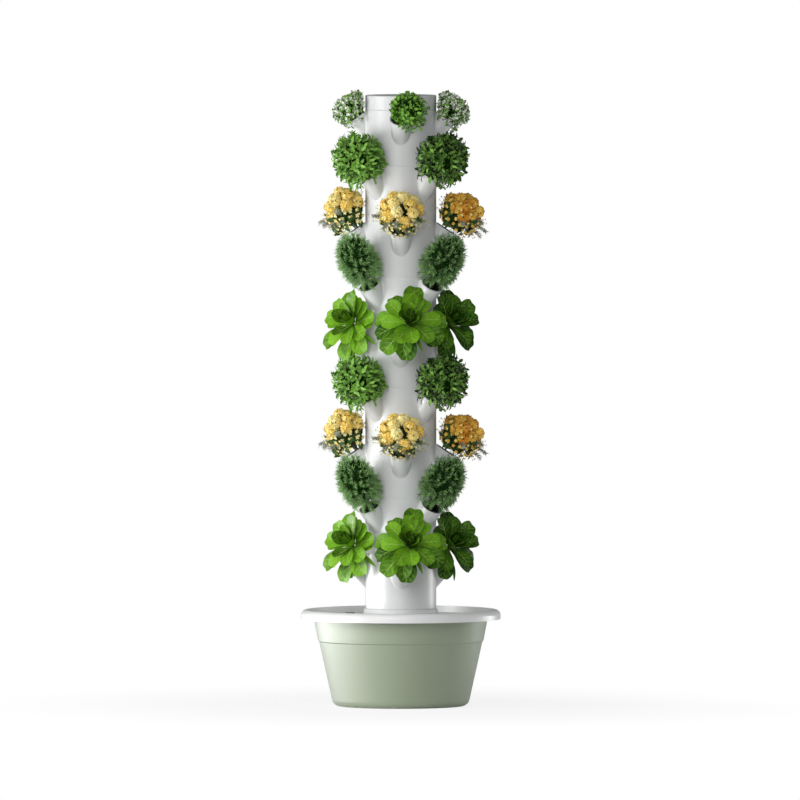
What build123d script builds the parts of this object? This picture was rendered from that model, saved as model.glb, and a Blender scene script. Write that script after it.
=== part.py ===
from build123d import *

from math import atan2, cos, degrees, radians, sin, tan

# A free-standing hydroponic tower: nine stacked tiers with tapered planting ports stand on the lid of a round
# water tub. A pump in the tub lifts water through the riser to a spreader under the top cap, and it trickles back
# down inside the column past the planting cups. Z is up, the floor is z = 0 and the front faces -Y.

# Driving sizes in millimetres and degrees

# Clearances
slip_gap = 0.3
seat_gap = 0.3
running_gap = 0.06
leaf_gap = 3.0

# Tub. Its mouth takes its size from the lid, and its step and base stand in from the mouth.
tub_base_inset = 44.0
tub_step_inset = 12.0
tub_step_width = 2.5
tub_step_height = 145.0
tub_height = 200.0
tub_wall = 3.0
tub_floor = 4.0
tub_corner_radius = 18.0
tub_flange_thickness = 3.0
tub_flange_gap = 1.0

# Lid
lid_radius = 225.0
lid_overhang = 29.0
lid_wall = 3.0
lid_rim_width = 16.0
lid_rim_rise = 14.0
lid_skirt_height = 21.0
lid_rim_round = 12.0
lid_tray_slope = 3.0
lid_rib_depth = 8.0
lid_rib_wall = 2.5

# Filler opening and its plug
filler_setback = 75.0
filler_radius = 24.0
filler_collar_wall = 3.0
filler_collar_height = 4.0
plug_wall = 2.5
plug_depth = 9.0
plug_overhang = 2.0
plug_grip_length = 34.0
plug_grip_width = 6.0
plug_grip_height = 4.0

# Grommet for the pump lead
grommet_setback = 75.0
grommet_angle = 140.0
grommet_hole_radius = 8.0
grommet_lip = 3.0
grommet_lip_height = 2.5
lead_hole_radius = 3.5

# Column and tiers
column_diameter = 160.0
column_wall = 3.0
tier_height = 125.0
tier_count = 9
seam_chamfer = 0.8
spigot_length = 10.0
spigot_wall = 3.0
shoulder_height = 4.0

# Planting ports
ports_per_tier = 4
port_tilt = 35.0
port_taper = 7.0
port_height = 106.0
port_wall = 3.2
port_lip = 2.0
port_blend = 5.0

# Foot of the tower
foot_height = 17.0
foot_floor = 3.0
foot_flange = 10.0
foot_flange_height = 3.0
foot_bead = 3.5
foot_spigot_radius = 70.0
foot_spigot_wall = 3.0
foot_spigot_depth = 9.0
drain_count = 8
drain_radius = 8.0
drain_circle = 46.0

# Top cap
cap_height = 32.0
cap_wall = 3.0
cap_edge_round = 2.5

# Riser pipe and spreader
riser_radius = 10.0
riser_wall = 2.0
riser_socket = 14.0
socket_wall = 2.5
socket_ledge = 2.0
guide_gap = 0.5
spreader_radius = 60.0
spreader_wall = 2.5
spreader_lip = 7.0
spreader_drop = 30.0
drip_count = 16
drip_radius = 2.0
drip_inset = 7.0

# Pump
pump_width = 58.0
motor_height = 50.0
motor_length = 52.0
motor_round = 9.0
rotor_well_radius = 9.5
rotor_well_depth = 35.0
chamber_radius = 19.0
chamber_length = 18.0
cover_wall = 3.0
cover_flange = 4.0
outlet_radius = 9.0
outlet_bore = 6.0
outlet_length = 14.0
intake_radius = 9.0
intake_bore = 6.5
intake_length = 9.0
strainer_bar = 1.6
shaft_radius = 1.5
shaft_seat = 6.0
shaft_inset = 4.0
rotor_gap = 0.5
impeller_gap = 3.0
impeller_disc = 2.5
impeller_hub_radius = 5.0
blade_count = 6
blade_thickness = 1.6
dial_radius = 14.0
dial_thickness = 5.0
dial_tab_length = 7.0
dial_tab_width = 4.0
gland_radius = 5.0
gland_length = 8.0
foot_pad_radius = 9.0
foot_pad_height = 6.0
foot_pad_wall = 1.5
foot_stem_radius = 3.0
foot_stem_length = 4.5
foot_pad_inset = 10.0

# Planting cups and sponges
cup_sides = 12
cup_flange_radius = 23.5
cup_flange_height = 1.6
cup_column_gap = 0.6
cup_wall = 1.4
cup_length = 52.0
cup_slot_width = 6.0
cup_slot_top = 14.0
cup_slot_bottom = 6.0
cup_drain_radius = 6.0
cup_drain_sides = 6
sponge_height = 30.0

# Plants: radius across the port axis, height along it, and how far a crown hangs outward from it
stem_radius = 5.0
stem_sides = 6
crown_rise = 1.5
crown_sides = 10
crown_shape = ((0.78, 0.0), (1.0, 0.3), (1.0, 0.55), (0.75, 0.85), (0.3, 1.0))
needle_radius = 49.0
needle_height = 138.0
needle_hang = -4.0
leafy_radius = 60.0
leafy_height = 106.0
leafy_hang = 8.0
flower_radius = 52.0
flower_height = 100.0
flower_hang = 2.0
herb_radius = 38.0
herb_height = 66.0
herb_hang = 0.0
lettuce_rise = 38.0
lettuce_lean = 62.0
outer_leaf_count = 6
outer_leaf_angle = 66.0
outer_leaf_length = 78.0
inner_leaf_count = 4
inner_leaf_angle = 36.0
inner_leaf_length = 66.0
leaf_width = 50.0
leaf_base_width = 10.0
leaf_thickness = 2.4

# Sizes that follow from them
tub_top_radius = lid_radius - lid_overhang
tub_step_radius = tub_top_radius - tub_step_inset
tub_base_radius = tub_top_radius - tub_base_inset
filler_distance = lid_radius - filler_setback
grommet_distance = lid_radius - grommet_setback
column_radius = column_diameter / 2
bore_radius = column_radius - column_wall
spigot_radius = bore_radius - slip_gap
lid_base = tub_height + seat_gap
tray_floor = lid_base + lid_wall
rim_top = tray_floor + lid_rim_rise
stack_base = tray_floor + foot_height
stack_top = stack_base + tier_count * tier_height
port_mouth_radius = cup_flange_radius + port_lip
port_bore_radius = port_mouth_radius - port_wall
port_reach = column_radius + cup_column_gap + cup_flange_radius * cos(radians(port_tilt))
tub_flange_radius = lid_radius - lid_wall - tub_flange_gap
riser_clearance = slip_gap / 2
socket_radius = riser_radius + riser_clearance + socket_wall


def revolved(points, axis=Axis.Z, plane=Plane.XZ, mode=Mode.ADD):
    """Turn a closed outline of (radius, height) points about an axis, in the part being built."""
    with BuildSketch(plane) as outline:
        with BuildLine():
            Polyline(*points, close=True)
        make_face()
    revolve(outline.sketch, axis=axis, mode=mode)


def round_corner(sketch, corner, radius):
    """Round the sketch corner nearest to a point."""
    fillet(sketch.vertices().sort_by_distance((*corner, 0))[0], radius)


# Reservoir

tub_step_top = tub_step_height + tub_step_width
tub_flange_base = tub_height - tub_flange_thickness

with BuildPart() as reservoir_tub:
    with BuildSketch(Plane.XZ) as tub_profile:
        with BuildLine():
            Polyline(
                (0, 0),
                (tub_base_radius, 0),
                (tub_step_radius, tub_step_height),
                (tub_step_radius + tub_step_width, tub_step_top),
                (tub_top_radius, tub_flange_base),
                (tub_flange_radius, tub_flange_base),
                (tub_flange_radius, tub_height),
                (tub_top_radius - tub_wall, tub_height),
                (tub_step_radius + tub_step_width - tub_wall, tub_step_top),
                (tub_step_radius - tub_wall, tub_step_height),
                (tub_base_radius - tub_wall, tub_floor),
                (0, tub_floor),
                close=True,
            )
        make_face()
        round_corner(tub_profile, (tub_base_radius, 0), tub_corner_radius)
        round_corner(tub_profile, (tub_base_radius - tub_wall, tub_floor), tub_corner_radius - tub_wall)
    revolve(axis=Axis.Z)
reservoir_tub.part.label = "reservoir_tub"
export_step(reservoir_tub.part, "parts/reservoir_tub.step")

# The lid is a tray with a rolled rim. A rib below it drops into the tub's mouth, where the tub wall leans inward.
lid_hole_radius = foot_spigot_radius + slip_gap
tray_radius = lid_radius - lid_rim_width
skirt_base = rim_top - lid_skirt_height
wall_lean = (tub_top_radius - tub_step_radius - tub_step_width) / (tub_flange_base - tub_step_top)
rib_base = lid_base - lid_rib_depth
rib_radius = tub_top_radius - tub_wall - wall_lean * lid_rib_depth - slip_gap

with BuildPart() as reservoir_lid:
    with BuildSketch(Plane.XZ) as lid_profile:
        with BuildLine():
            Polyline(
                (lid_hole_radius, lid_base),
                (tray_radius - lid_tray_slope + lid_wall, lid_base),
                (tray_radius + lid_wall, rim_top - lid_wall),
                (lid_radius - lid_wall, rim_top - lid_wall),
                (lid_radius - lid_wall, skirt_base),
                (lid_radius, skirt_base),
                (lid_radius, rim_top),
                (tray_radius, rim_top),
                (tray_radius - lid_tray_slope, tray_floor),
                (lid_hole_radius, tray_floor),
                close=True,
            )
        make_face()
        round_corner(lid_profile, (lid_radius, rim_top), lid_rim_round)
        round_corner(lid_profile, (lid_radius - lid_wall, rim_top - lid_wall), lid_rim_round - lid_wall)
    revolve(axis=Axis.Z)
    revolved(
        [
            (rib_radius - lid_rib_wall, rib_base),
            (rib_radius, rib_base),
            (rib_radius, lid_base),
            (rib_radius - lid_rib_wall, lid_base),
        ]
    )
    with Locations((0, filler_distance, tray_floor)):
        Cylinder(
            filler_radius + filler_collar_wall,
            filler_collar_height,
            align=(Align.CENTER, Align.CENTER, Align.MIN),
        )
        Hole(filler_radius)
    with PolarLocations(grommet_distance, 1, start_angle=grommet_angle):
        with Locations((0, 0, tray_floor)):
            Hole(grommet_hole_radius)
reservoir_lid.part.label = "reservoir_lid"
export_step(reservoir_lid.part, "parts/reservoir_lid.step")

# The plug is a hollow stopper with a finger grip across its top.
plug_base = tray_floor + filler_collar_height + seat_gap
plug_section = Plane(origin=(0, filler_distance, plug_base), x_dir=(1, 0, 0), z_dir=(0, -1, 0))
plug_axis = Axis((0, filler_distance, plug_base), (0, 0, 1))
plug_radius = filler_radius - slip_gap

with BuildPart() as filler_plug:
    revolved(
        [
            (0, 0),
            (plug_radius - plug_wall, 0),
            (plug_radius - plug_wall, -plug_depth),
            (plug_radius, -plug_depth),
            (plug_radius, 0),
            (filler_radius + filler_collar_wall + plug_overhang, 0),
            (filler_radius + filler_collar_wall + plug_overhang, plug_wall),
            (0, plug_wall),
        ],
        axis=plug_axis,
        plane=plug_section,
    )
    with BuildSketch(Plane.XY.offset(plug_base + plug_wall)):
        with Locations((0, filler_distance)):
            SlotOverall(plug_grip_length, plug_grip_width)
    extrude(amount=plug_grip_height)
filler_plug.part.label = "filler_plug"
export_step(filler_plug.part, "parts/filler_plug.step")

grommet_x = grommet_distance * cos(radians(grommet_angle))
grommet_y = grommet_distance * sin(radians(grommet_angle))
grommet_section = Plane(origin=(grommet_x, grommet_y, lid_base), x_dir=(1, 0, 0), z_dir=(0, -1, 0))
grommet_neck = grommet_hole_radius - slip_gap / 2
grommet_rim = grommet_hole_radius + grommet_lip

with BuildPart() as cable_grommet:
    revolved(
        [
            (lead_hole_radius, -grommet_lip_height),
            (grommet_rim, -grommet_lip_height),
            (grommet_rim, 0),
            (grommet_neck, 0),
            (grommet_neck, lid_wall),
            (grommet_rim, lid_wall),
            (grommet_rim, lid_wall + grommet_lip_height),
            (lead_hole_radius, lid_wall + grommet_lip_height),
        ],
        axis=Axis((grommet_x, grommet_y, 0), (0, 0, 1)),
        plane=grommet_section,
    )
cable_grommet.part.label = "cable_grommet"
export_step(cable_grommet.part, "parts/cable_grommet.step")

# Tower foot: a beaded collar with a drain floor that also guides the riser.
foot_floor_top = stack_base - spigot_length - seat_gap
foot_floor_base = foot_floor_top - foot_floor
guide_radius = riser_radius + guide_gap
bead_radius = column_radius + foot_bead

with BuildPart() as tower_foot:
    with BuildSketch(Plane.XZ) as foot_profile:
        with BuildLine():
            Polyline(
                (foot_spigot_radius - foot_spigot_wall, lid_base - foot_spigot_depth),
                (foot_spigot_radius, lid_base - foot_spigot_depth),
                (foot_spigot_radius, tray_floor),
                (bead_radius + foot_flange, tray_floor),
                (bead_radius + foot_flange, tray_floor + foot_flange_height),
                (bead_radius, tray_floor + foot_flange_height),
                (bead_radius, stack_base),
                (bore_radius, stack_base),
                (bore_radius, foot_floor_top),
                (guide_radius, foot_floor_top),
                (guide_radius, foot_floor_base),
                (foot_spigot_radius - foot_spigot_wall, foot_floor_base),
                close=True,
            )
        make_face()
        round_corner(foot_profile, (bead_radius, tray_floor + foot_flange_height), foot_flange * 0.7)
        round_corner(foot_profile, (bead_radius, stack_base), foot_bead * 0.8)
    revolve(axis=Axis.Z)
    with PolarLocations(drain_circle, drain_count):
        with Locations((0, 0, foot_floor_top)):
            Hole(drain_radius, depth=foot_floor)
tower_foot.part.label = "tower_foot"
export_step(tower_foot.part, "parts/tower_foot.step")

# Tier: a tube with four tapered ports moulded on. The port axis leans outward from the column. The front port of a
# tier whose lower edge is at z = 0 is described here, and every other port is a turned and lifted copy.

front_port = Plane(
    origin=(0, -port_reach, port_height),
    x_dir=(0, -cos(radians(port_tilt)), -sin(radians(port_tilt))),
    z_dir=(0, -sin(radians(port_tilt)), cos(radians(port_tilt))),
)
port_section = Plane(origin=front_port.origin, x_dir=front_port.x_dir, z_dir=-front_port.y_dir)
port_axis = Axis(front_port.origin, front_port.z_dir)
taper = tan(radians(port_taper))


def cone_depth(mouth_radius):
    """Depth along the port axis at which a tapered port lies wholly inside the column's bore."""
    overhang = port_reach + mouth_radius * cos(radians(port_tilt)) - bore_radius + column_wall
    return overhang / (sin(radians(port_tilt)) + taper * cos(radians(port_tilt)))


def cone_points(mouth_radius, rise=0.0):
    """Outline of a tapered port, from its narrow inner end to its mouth, or to a rise above the mouth."""
    depth = cone_depth(mouth_radius)
    return [
        (0, -depth),
        (mouth_radius - depth * taper, -depth),
        (mouth_radius + rise * taper, rise),
        (0, rise),
    ]


with BuildPart() as port_shell:
    revolved(cone_points(port_mouth_radius), axis=port_axis, plane=port_section)

with BuildPart() as port_hollow:
    revolved(cone_points(port_bore_radius, rise=column_wall), axis=port_axis, plane=port_section)

with BuildPart() as tier:
    revolved(
        [
            (0, -spigot_length),
            (spigot_radius, -spigot_length),
            (spigot_radius, 0),
            (column_radius - seam_chamfer, 0),
            (column_radius, seam_chamfer),
            (column_radius, tier_height - seam_chamfer),
            (column_radius - seam_chamfer, tier_height),
            (0, tier_height),
        ]
    )
    with PolarLocations(0, ports_per_tier):
        add(port_shell.part)
    joint_lines = [
        edge
        for edge in tier.edges()
        if edge.geom_type not in (GeomType.LINE, GeomType.CIRCLE, GeomType.ELLIPSE)
    ]
    fillet(joint_lines, port_blend)
    revolved(
        [
            (0, -spigot_length),
            (spigot_radius - spigot_wall, -spigot_length),
            (spigot_radius - spigot_wall, shoulder_height),
            (bore_radius, shoulder_height + spigot_wall),
            (bore_radius, tier_height),
            (0, tier_height),
        ],
        mode=Mode.SUBTRACT,
    )
    with PolarLocations(0, ports_per_tier):
        add(port_hollow.part, mode=Mode.SUBTRACT)


def tier_base(number):
    """Height of the lower edge of a tier, counted from 1 at the foot."""
    return stack_base + (number - 1) * tier_height


port_step = 360 / ports_per_tier
odd_tiers = range(1, tier_count + 1, 2)
even_tiers = range(2, tier_count + 1, 2)

for number in range(1, tier_count + 1):
    turn = 0 if number in odd_tiers else port_step / 2
    with BuildPart() as tower_tier:
        with Locations(Location((0, 0, tier_base(number)), (0, 0, turn))):
            add(tier.part)
    tower_tier.part.label = f"tower_tier_{number}"
    export_step(tower_tier.part, f"parts/tower_tier_{number}.step")

# Top cap

cap_base = stack_top + seat_gap
cap_top = cap_base + cap_height

with BuildPart() as top_cap:
    with BuildSketch(Plane.XZ) as cap_profile:
        with BuildLine():
            Polyline(
                (0, cap_top),
                (column_radius, cap_top),
                (column_radius, cap_base),
                (spigot_radius, cap_base),
                (spigot_radius, cap_base - spigot_length),
                (spigot_radius - cap_wall, cap_base - spigot_length),
                (spigot_radius - cap_wall, cap_top - cap_wall),
                (0, cap_top - cap_wall),
                close=True,
            )
        make_face()
        round_corner(cap_profile, (column_radius, cap_top), cap_edge_round)
    revolve(axis=Axis.Z)
top_cap.part.label = "top_cap"
export_step(top_cap.part, "parts/top_cap.step")

# Pump. Its axis runs along Y, the outlet rises on the tower's axis and the motor lies behind it.

pump_base = tub_floor + foot_pad_height
pump_axis_height = pump_base + motor_height / 2
motor_face = chamber_length / 2
cover_front = -chamber_length / 2 - cover_wall
chamber_plane = Plane(origin=(0, motor_face, pump_axis_height), x_dir=(1, 0, 0), z_dir=(0, -1, 0))
motor_plane = Plane(origin=(0, motor_face, pump_axis_height), x_dir=(-1, 0, 0), z_dir=(0, 1, 0))
cover_plane = chamber_plane.offset(motor_face - cover_front)
motor_middle = motor_face + motor_length / 2
pad_spacing_x = pump_width - 2 * (foot_pad_inset + motor_round / 2)
pad_spacing_y = motor_length - 2 * foot_pad_inset
outlet_top = pump_base + motor_height + outlet_length

with BuildPart() as pump_housing:
    with BuildSketch(motor_plane):
        RectangleRounded(pump_width, motor_height, motor_round)
    extrude(amount=motor_length)
    chamfer(pump_housing.faces().sort_by(Axis.Y)[-1].edges(), motor_round / 3)
    with BuildSketch(motor_plane):
        Circle(rotor_well_radius)
    extrude(amount=rotor_well_depth, mode=Mode.SUBTRACT)
    with BuildSketch(motor_plane.offset(rotor_well_depth)):
        Circle(shaft_radius + running_gap)
    extrude(amount=shaft_seat, mode=Mode.SUBTRACT)
    with BuildSketch(motor_plane.offset(motor_length)):
        with Locations((0, motor_height / 4)):
            Circle(gland_radius)
            Circle(lead_hole_radius, mode=Mode.SUBTRACT)
    extrude(amount=gland_length)
    with BuildSketch(Plane.XY.offset(pump_base)):
        with Locations((0, motor_middle)):
            with GridLocations(pad_spacing_x, pad_spacing_y, 2, 2):
                Circle(foot_stem_radius + running_gap)
    extrude(amount=foot_stem_length + seat_gap, mode=Mode.SUBTRACT)
pump_housing.part.label = "pump_housing"
export_step(pump_housing.part, "parts/pump_housing.step")

with BuildPart() as pump_cover:
    with BuildSketch(chamber_plane):
        RectangleRounded(pump_width, motor_height, motor_round)
    extrude(amount=cover_flange)
    with BuildSketch(chamber_plane):
        Circle(chamber_radius + cover_wall)
    extrude(amount=motor_face - cover_front)
    with BuildSketch(Plane.XY.offset(pump_axis_height)):
        Circle(outlet_radius)
    extrude(amount=outlet_top - pump_axis_height)
    with BuildSketch(cover_plane):
        Circle(intake_radius)
    extrude(amount=intake_length)
    with BuildSketch(chamber_plane):
        Circle(chamber_radius)
    extrude(amount=chamber_length, mode=Mode.SUBTRACT)
    with BuildSketch(Plane.XY.offset(pump_axis_height)):
        Circle(outlet_bore)
    extrude(amount=outlet_top - pump_axis_height, mode=Mode.SUBTRACT)
    with BuildSketch(chamber_plane.offset(chamber_length)):
        Circle(intake_bore)
    extrude(amount=cover_wall + intake_length, mode=Mode.SUBTRACT)
    with BuildSketch(cover_plane.offset(intake_length - strainer_bar)):
        Rectangle(2 * intake_bore + strainer_bar, strainer_bar)
        Rectangle(strainer_bar, 2 * intake_bore + strainer_bar)
    extrude(amount=strainer_bar)
pump_cover.part.label = "pump_cover"
export_step(pump_cover.part, "parts/pump_cover.step")

# The impeller turns on a ceramic shaft that is held in the bottom of the rotor well.
shaft_end = chamber_length - shaft_inset
rotor_radius = rotor_well_radius - rotor_gap
impeller_radius = chamber_radius - impeller_gap
blade_depth = chamber_length - shaft_inset - impeller_disc - rotor_gap

with BuildPart() as pump_shaft:
    with BuildSketch(motor_plane.offset(rotor_well_depth + shaft_seat)):
        Circle(shaft_radius)
    extrude(amount=-(rotor_well_depth + shaft_seat + shaft_end))
pump_shaft.part.label = "pump_shaft"
export_step(pump_shaft.part, "parts/pump_shaft.step")

with BuildPart() as pump_impeller:
    with BuildSketch(motor_plane.offset(rotor_well_depth - rotor_gap)):
        Circle(rotor_radius)
    extrude(amount=-(rotor_well_depth - rotor_gap))
    with BuildSketch(chamber_plane):
        Circle(impeller_hub_radius)
    extrude(amount=shaft_end - rotor_gap)
    with BuildSketch(chamber_plane.offset(rotor_gap)):
        Circle(impeller_radius)
    extrude(amount=impeller_disc)
    with BuildSketch(chamber_plane.offset(rotor_gap + impeller_disc)):
        with PolarLocations(impeller_radius / 2, blade_count):
            Rectangle(impeller_radius, blade_thickness)
    extrude(amount=blade_depth - impeller_gap)
    with BuildSketch(motor_plane.offset(rotor_well_depth - rotor_gap)):
        Circle(shaft_radius + running_gap)
    extrude(amount=-(rotor_well_depth + chamber_length), mode=Mode.SUBTRACT)
pump_impeller.part.label = "pump_impeller"
export_step(pump_impeller.part, "parts/pump_impeller.step")

with BuildPart() as flow_dial:
    with BuildSketch(cover_plane.offset(running_gap)):
        Circle(dial_radius)
        with Locations((0, dial_radius + dial_tab_length / 2 - dial_tab_width / 2)):
            Rectangle(dial_tab_width, dial_tab_length)
        Circle(intake_radius + running_gap, mode=Mode.SUBTRACT)
    extrude(amount=dial_thickness)
flow_dial.part.label = "flow_dial"
export_step(flow_dial.part, "parts/flow_dial.step")

# Suction feet: hollow rubber cups whose stems push into the housing.
with BuildPart() as foot_pad:
    revolved(
        [
            (0, foot_pad_height - foot_pad_wall),
            (foot_pad_radius - foot_pad_wall, 0),
            (foot_pad_radius, 0),
            (foot_stem_radius * 2, foot_pad_height),
            (foot_stem_radius, foot_pad_height),
            (foot_stem_radius, foot_pad_height + foot_stem_length),
            (0, foot_pad_height + foot_stem_length),
        ]
    )

with BuildPart() as pump_feet:
    with Locations((0, motor_middle, tub_floor)):
        with GridLocations(pad_spacing_x, pad_spacing_y, 2, 2):
            add(foot_pad.part)
pump_feet.part.label = "pump_feet"
export_step(pump_feet.part, "parts/pump_feet.step")

# Riser: the adapter sits on the pump's outlet, and a coupler joins the pipe's two lengths half way up.

adapter_base = outlet_top - outlet_length + seat_gap
riser_base = outlet_top + socket_ledge
riser_bore = riser_radius - riser_wall
spreader_floor = stack_top - spreader_drop
riser_top = spreader_floor + riser_socket / 2
riser_middle = (riser_base + riser_top) / 2

with BuildPart() as outlet_adapter:
    revolved(
        [
            (outlet_radius + riser_clearance, adapter_base),
            (socket_radius, adapter_base),
            (socket_radius, riser_base + riser_socket),
            (riser_radius + riser_clearance, riser_base + riser_socket),
            (riser_radius + riser_clearance, riser_base),
            (riser_bore, riser_base),
            (riser_bore, outlet_top),
            (outlet_radius + riser_clearance, outlet_top),
        ]
    )
outlet_adapter.part.label = "outlet_adapter"
export_step(outlet_adapter.part, "parts/outlet_adapter.step")

for half, low, high in (
    ("lower", riser_base, riser_middle - socket_ledge / 2),
    ("upper", riser_middle + socket_ledge / 2, riser_top),
):
    with BuildPart() as riser:
        with BuildSketch(Plane.XY.offset(low)):
            Circle(riser_radius)
            Circle(riser_bore, mode=Mode.SUBTRACT)
        extrude(amount=high - low)
    riser.part.label = f"riser_{half}"
    export_step(riser.part, f"parts/riser_{half}.step")

with BuildPart() as riser_coupler:
    revolved(
        [
            (riser_radius + riser_clearance, riser_middle - riser_socket),
            (socket_radius, riser_middle - riser_socket),
            (socket_radius, riser_middle + riser_socket),
            (riser_radius + riser_clearance, riser_middle + riser_socket),
            (riser_radius + riser_clearance, riser_middle + socket_ledge / 2),
            (riser_bore, riser_middle + socket_ledge / 2),
            (riser_bore, riser_middle - socket_ledge / 2),
            (riser_radius + riser_clearance, riser_middle - socket_ledge / 2),
        ]
    )
riser_coupler.part.label = "riser_coupler"
export_step(riser_coupler.part, "parts/riser_coupler.step")

# Spreader: a lipped tray on the pipe's end, with a nozzle in its hub and drip holes round its edge.
with BuildPart() as water_spreader:
    revolved(
        [
            (riser_radius + riser_clearance, riser_top - riser_socket),
            (socket_radius, riser_top - riser_socket),
            (socket_radius, spreader_floor - spreader_wall),
            (spreader_radius, spreader_floor - spreader_wall),
            (spreader_radius, spreader_floor + spreader_lip),
            (spreader_radius - spreader_wall, spreader_floor + spreader_lip),
            (spreader_radius - spreader_wall, spreader_floor),
            (socket_radius, spreader_floor),
            (socket_radius, riser_top + socket_ledge),
            (riser_bore - socket_ledge, riser_top + socket_ledge),
            (riser_bore - socket_ledge, riser_top),
            (riser_radius + riser_clearance, riser_top),
        ]
    )
    with PolarLocations(spreader_radius - drip_inset, drip_count):
        with Locations((0, 0, spreader_floor)):
            Hole(drip_radius, depth=spreader_wall)
water_spreader.part.label = "water_spreader"
export_step(water_spreader.part, "parts/water_spreader.step")

# Planting cup: a slotted, flat-sided basket that tapers with the port and hangs by its flange on the port's mouth.

cup_mouth_radius = port_bore_radius - slip_gap
cup_floor = cup_wall - cup_length
sponge_top = cup_floor + sponge_height
slot_span = 2 * port_mouth_radius
half_side = 180 / cup_sides

with BuildPart() as cup:
    with BuildSketch(front_port):
        RegularPolygon(cup_flange_radius, cup_sides, rotation=half_side)
    extrude(amount=cup_flange_height)
    with BuildSketch(front_port):
        RegularPolygon(cup_mouth_radius, cup_sides, rotation=half_side)
    extrude(amount=-cup_length, taper=port_taper)
    with BuildSketch(front_port):
        RegularPolygon(cup_mouth_radius - cup_wall, cup_sides, rotation=half_side)
    extrude(amount=cup_floor, taper=port_taper, mode=Mode.SUBTRACT)
    with BuildSketch(front_port):
        RegularPolygon(cup_mouth_radius - cup_wall, cup_sides, rotation=half_side)
    extrude(amount=cup_flange_height, mode=Mode.SUBTRACT)
    with BuildSketch(front_port.offset(cup_slot_bottom - cup_length)):
        Rectangle(slot_span, cup_slot_width)
        Rectangle(cup_slot_width, slot_span)
    extrude(amount=cup_length - cup_slot_bottom - cup_slot_top, mode=Mode.SUBTRACT)
    with BuildSketch(front_port.offset(-cup_length)):
        RegularPolygon(cup_drain_radius, cup_drain_sides)
    extrude(amount=cup_wall, mode=Mode.SUBTRACT)

sponge_radius = cup_mouth_radius - cup_wall - slip_gap + sponge_top * taper / cos(radians(half_side))

with BuildPart() as sponge:
    with BuildSketch(front_port.offset(sponge_top)):
        RegularPolygon(sponge_radius, cup_sides, rotation=half_side)
    extrude(amount=-sponge_height, taper=port_taper)

# Plants. Each is a crown on a stem that stands on the sponge, trimmed clear of the column.


def crown(radius, height, hang):
    """Stem and rounded crown of flat facets, hung outward from the port axis, in the part being built."""
    low = cup_flange_height + crown_rise
    for (wide, base), (next_wide, top) in zip(crown_shape, crown_shape[1:]):
        rise = (top - base) * (height - low)
        draw_in = (wide - next_wide) * radius * cos(radians(180 / crown_sides))
        with BuildSketch(front_port.offset(low + base * (height - low))) as section:
            with Locations((hang, 0)):
                RegularPolygon(wide * radius, crown_sides)
        extrude(section.sketch, amount=rise, taper=degrees(atan2(draw_in, rise)))
    with BuildSketch(front_port.offset(sponge_top)) as stem:
        RegularPolygon(stem_radius, stem_sides)
    extrude(stem.sketch, amount=low - sponge_top)
    Cylinder(column_radius + leaf_gap, 4 * tier_height, mode=Mode.SUBTRACT)


with BuildPart() as needle_shrub:
    crown(needle_radius, needle_height, needle_hang)

with BuildPart() as leafy_shrub:
    crown(leafy_radius, leafy_height, leafy_hang)

with BuildPart() as flower_bunch:
    crown(flower_radius, flower_height, flower_hang)

with BuildPart() as herb_tuft:
    crown(herb_radius, herb_height, herb_hang)

# Lettuce: two whorls of broad leaves round an axis that leans further out than the port.
lettuce_heart = front_port.origin + front_port.z_dir * lettuce_rise
lettuce_axis = Vector(0, -sin(radians(lettuce_lean)), cos(radians(lettuce_lean)))
lettuce_up = Vector(0, cos(radians(lettuce_lean)), sin(radians(lettuce_lean)))
lettuce_side = Vector(1, 0, 0)


def lettuce_leaf(turn, spread, length):
    """Broad rounded leaf, turned about the lettuce's axis and spread away from it, in the part being built."""
    outward = lettuce_up * cos(radians(turn)) + lettuce_side * sin(radians(turn))
    along = lettuce_axis * cos(radians(spread)) + outward * sin(radians(spread))
    facing = lettuce_axis * sin(radians(spread)) - outward * cos(radians(spread))
    with BuildSketch(Plane(origin=lettuce_heart, x_dir=along, z_dir=facing)) as blade:
        with BuildLine():
            Polyline(
                (0, -leaf_base_width / 2),
                (length * 0.62, -leaf_width / 2),
                (length * 0.90, -leaf_width * 0.32),
                (length, 0),
                (length * 0.90, leaf_width * 0.32),
                (length * 0.62, leaf_width / 2),
                (0, leaf_base_width / 2),
                close=True,
            )
        make_face()
    extrude(blade.sketch, amount=leaf_thickness / 2, both=True)


with BuildPart() as lettuce:
    with BuildSketch(front_port.offset(sponge_top)):
        RegularPolygon(stem_radius, stem_sides)
    extrude(amount=lettuce_rise - sponge_top)
    for leaf in range(outer_leaf_count):
        lettuce_leaf(leaf * 360 / outer_leaf_count, outer_leaf_angle, outer_leaf_length)
    for leaf in range(inner_leaf_count):
        lettuce_leaf((leaf + 0.5) * 360 / inner_leaf_count, inner_leaf_angle, inner_leaf_length)

# The planted ports, grouped by the way they face. Each group holds one above another what is lifted out on one side.

straight_facings = ("front", "right", "back", "left")
slanted_facings = ("front_right", "back_right", "back_left", "front_left")
lettuce_tiers = (1, 5)
needle_tiers = (2, 6)
flower_tiers = (3, 7)
leafy_tiers = (4, 8)
herb_tiers = (9,)


def port_places(tiers, turn):
    """Places of the ports that face one way on the given tiers."""
    return [Location((0, 0, tier_base(number)), (0, 0, turn)) for number in tiers]


def planted_group(name, turn, *shapes_and_tiers):
    """Write one node that holds copies of each shape in the ports of its tiers."""
    with BuildPart() as group:
        for shape, tiers in shapes_and_tiers:
            with Locations(*port_places(tiers, turn)):
                add(shape.part)
    group.part.label = name
    export_step(group.part, f"parts/{name}.step")


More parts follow.
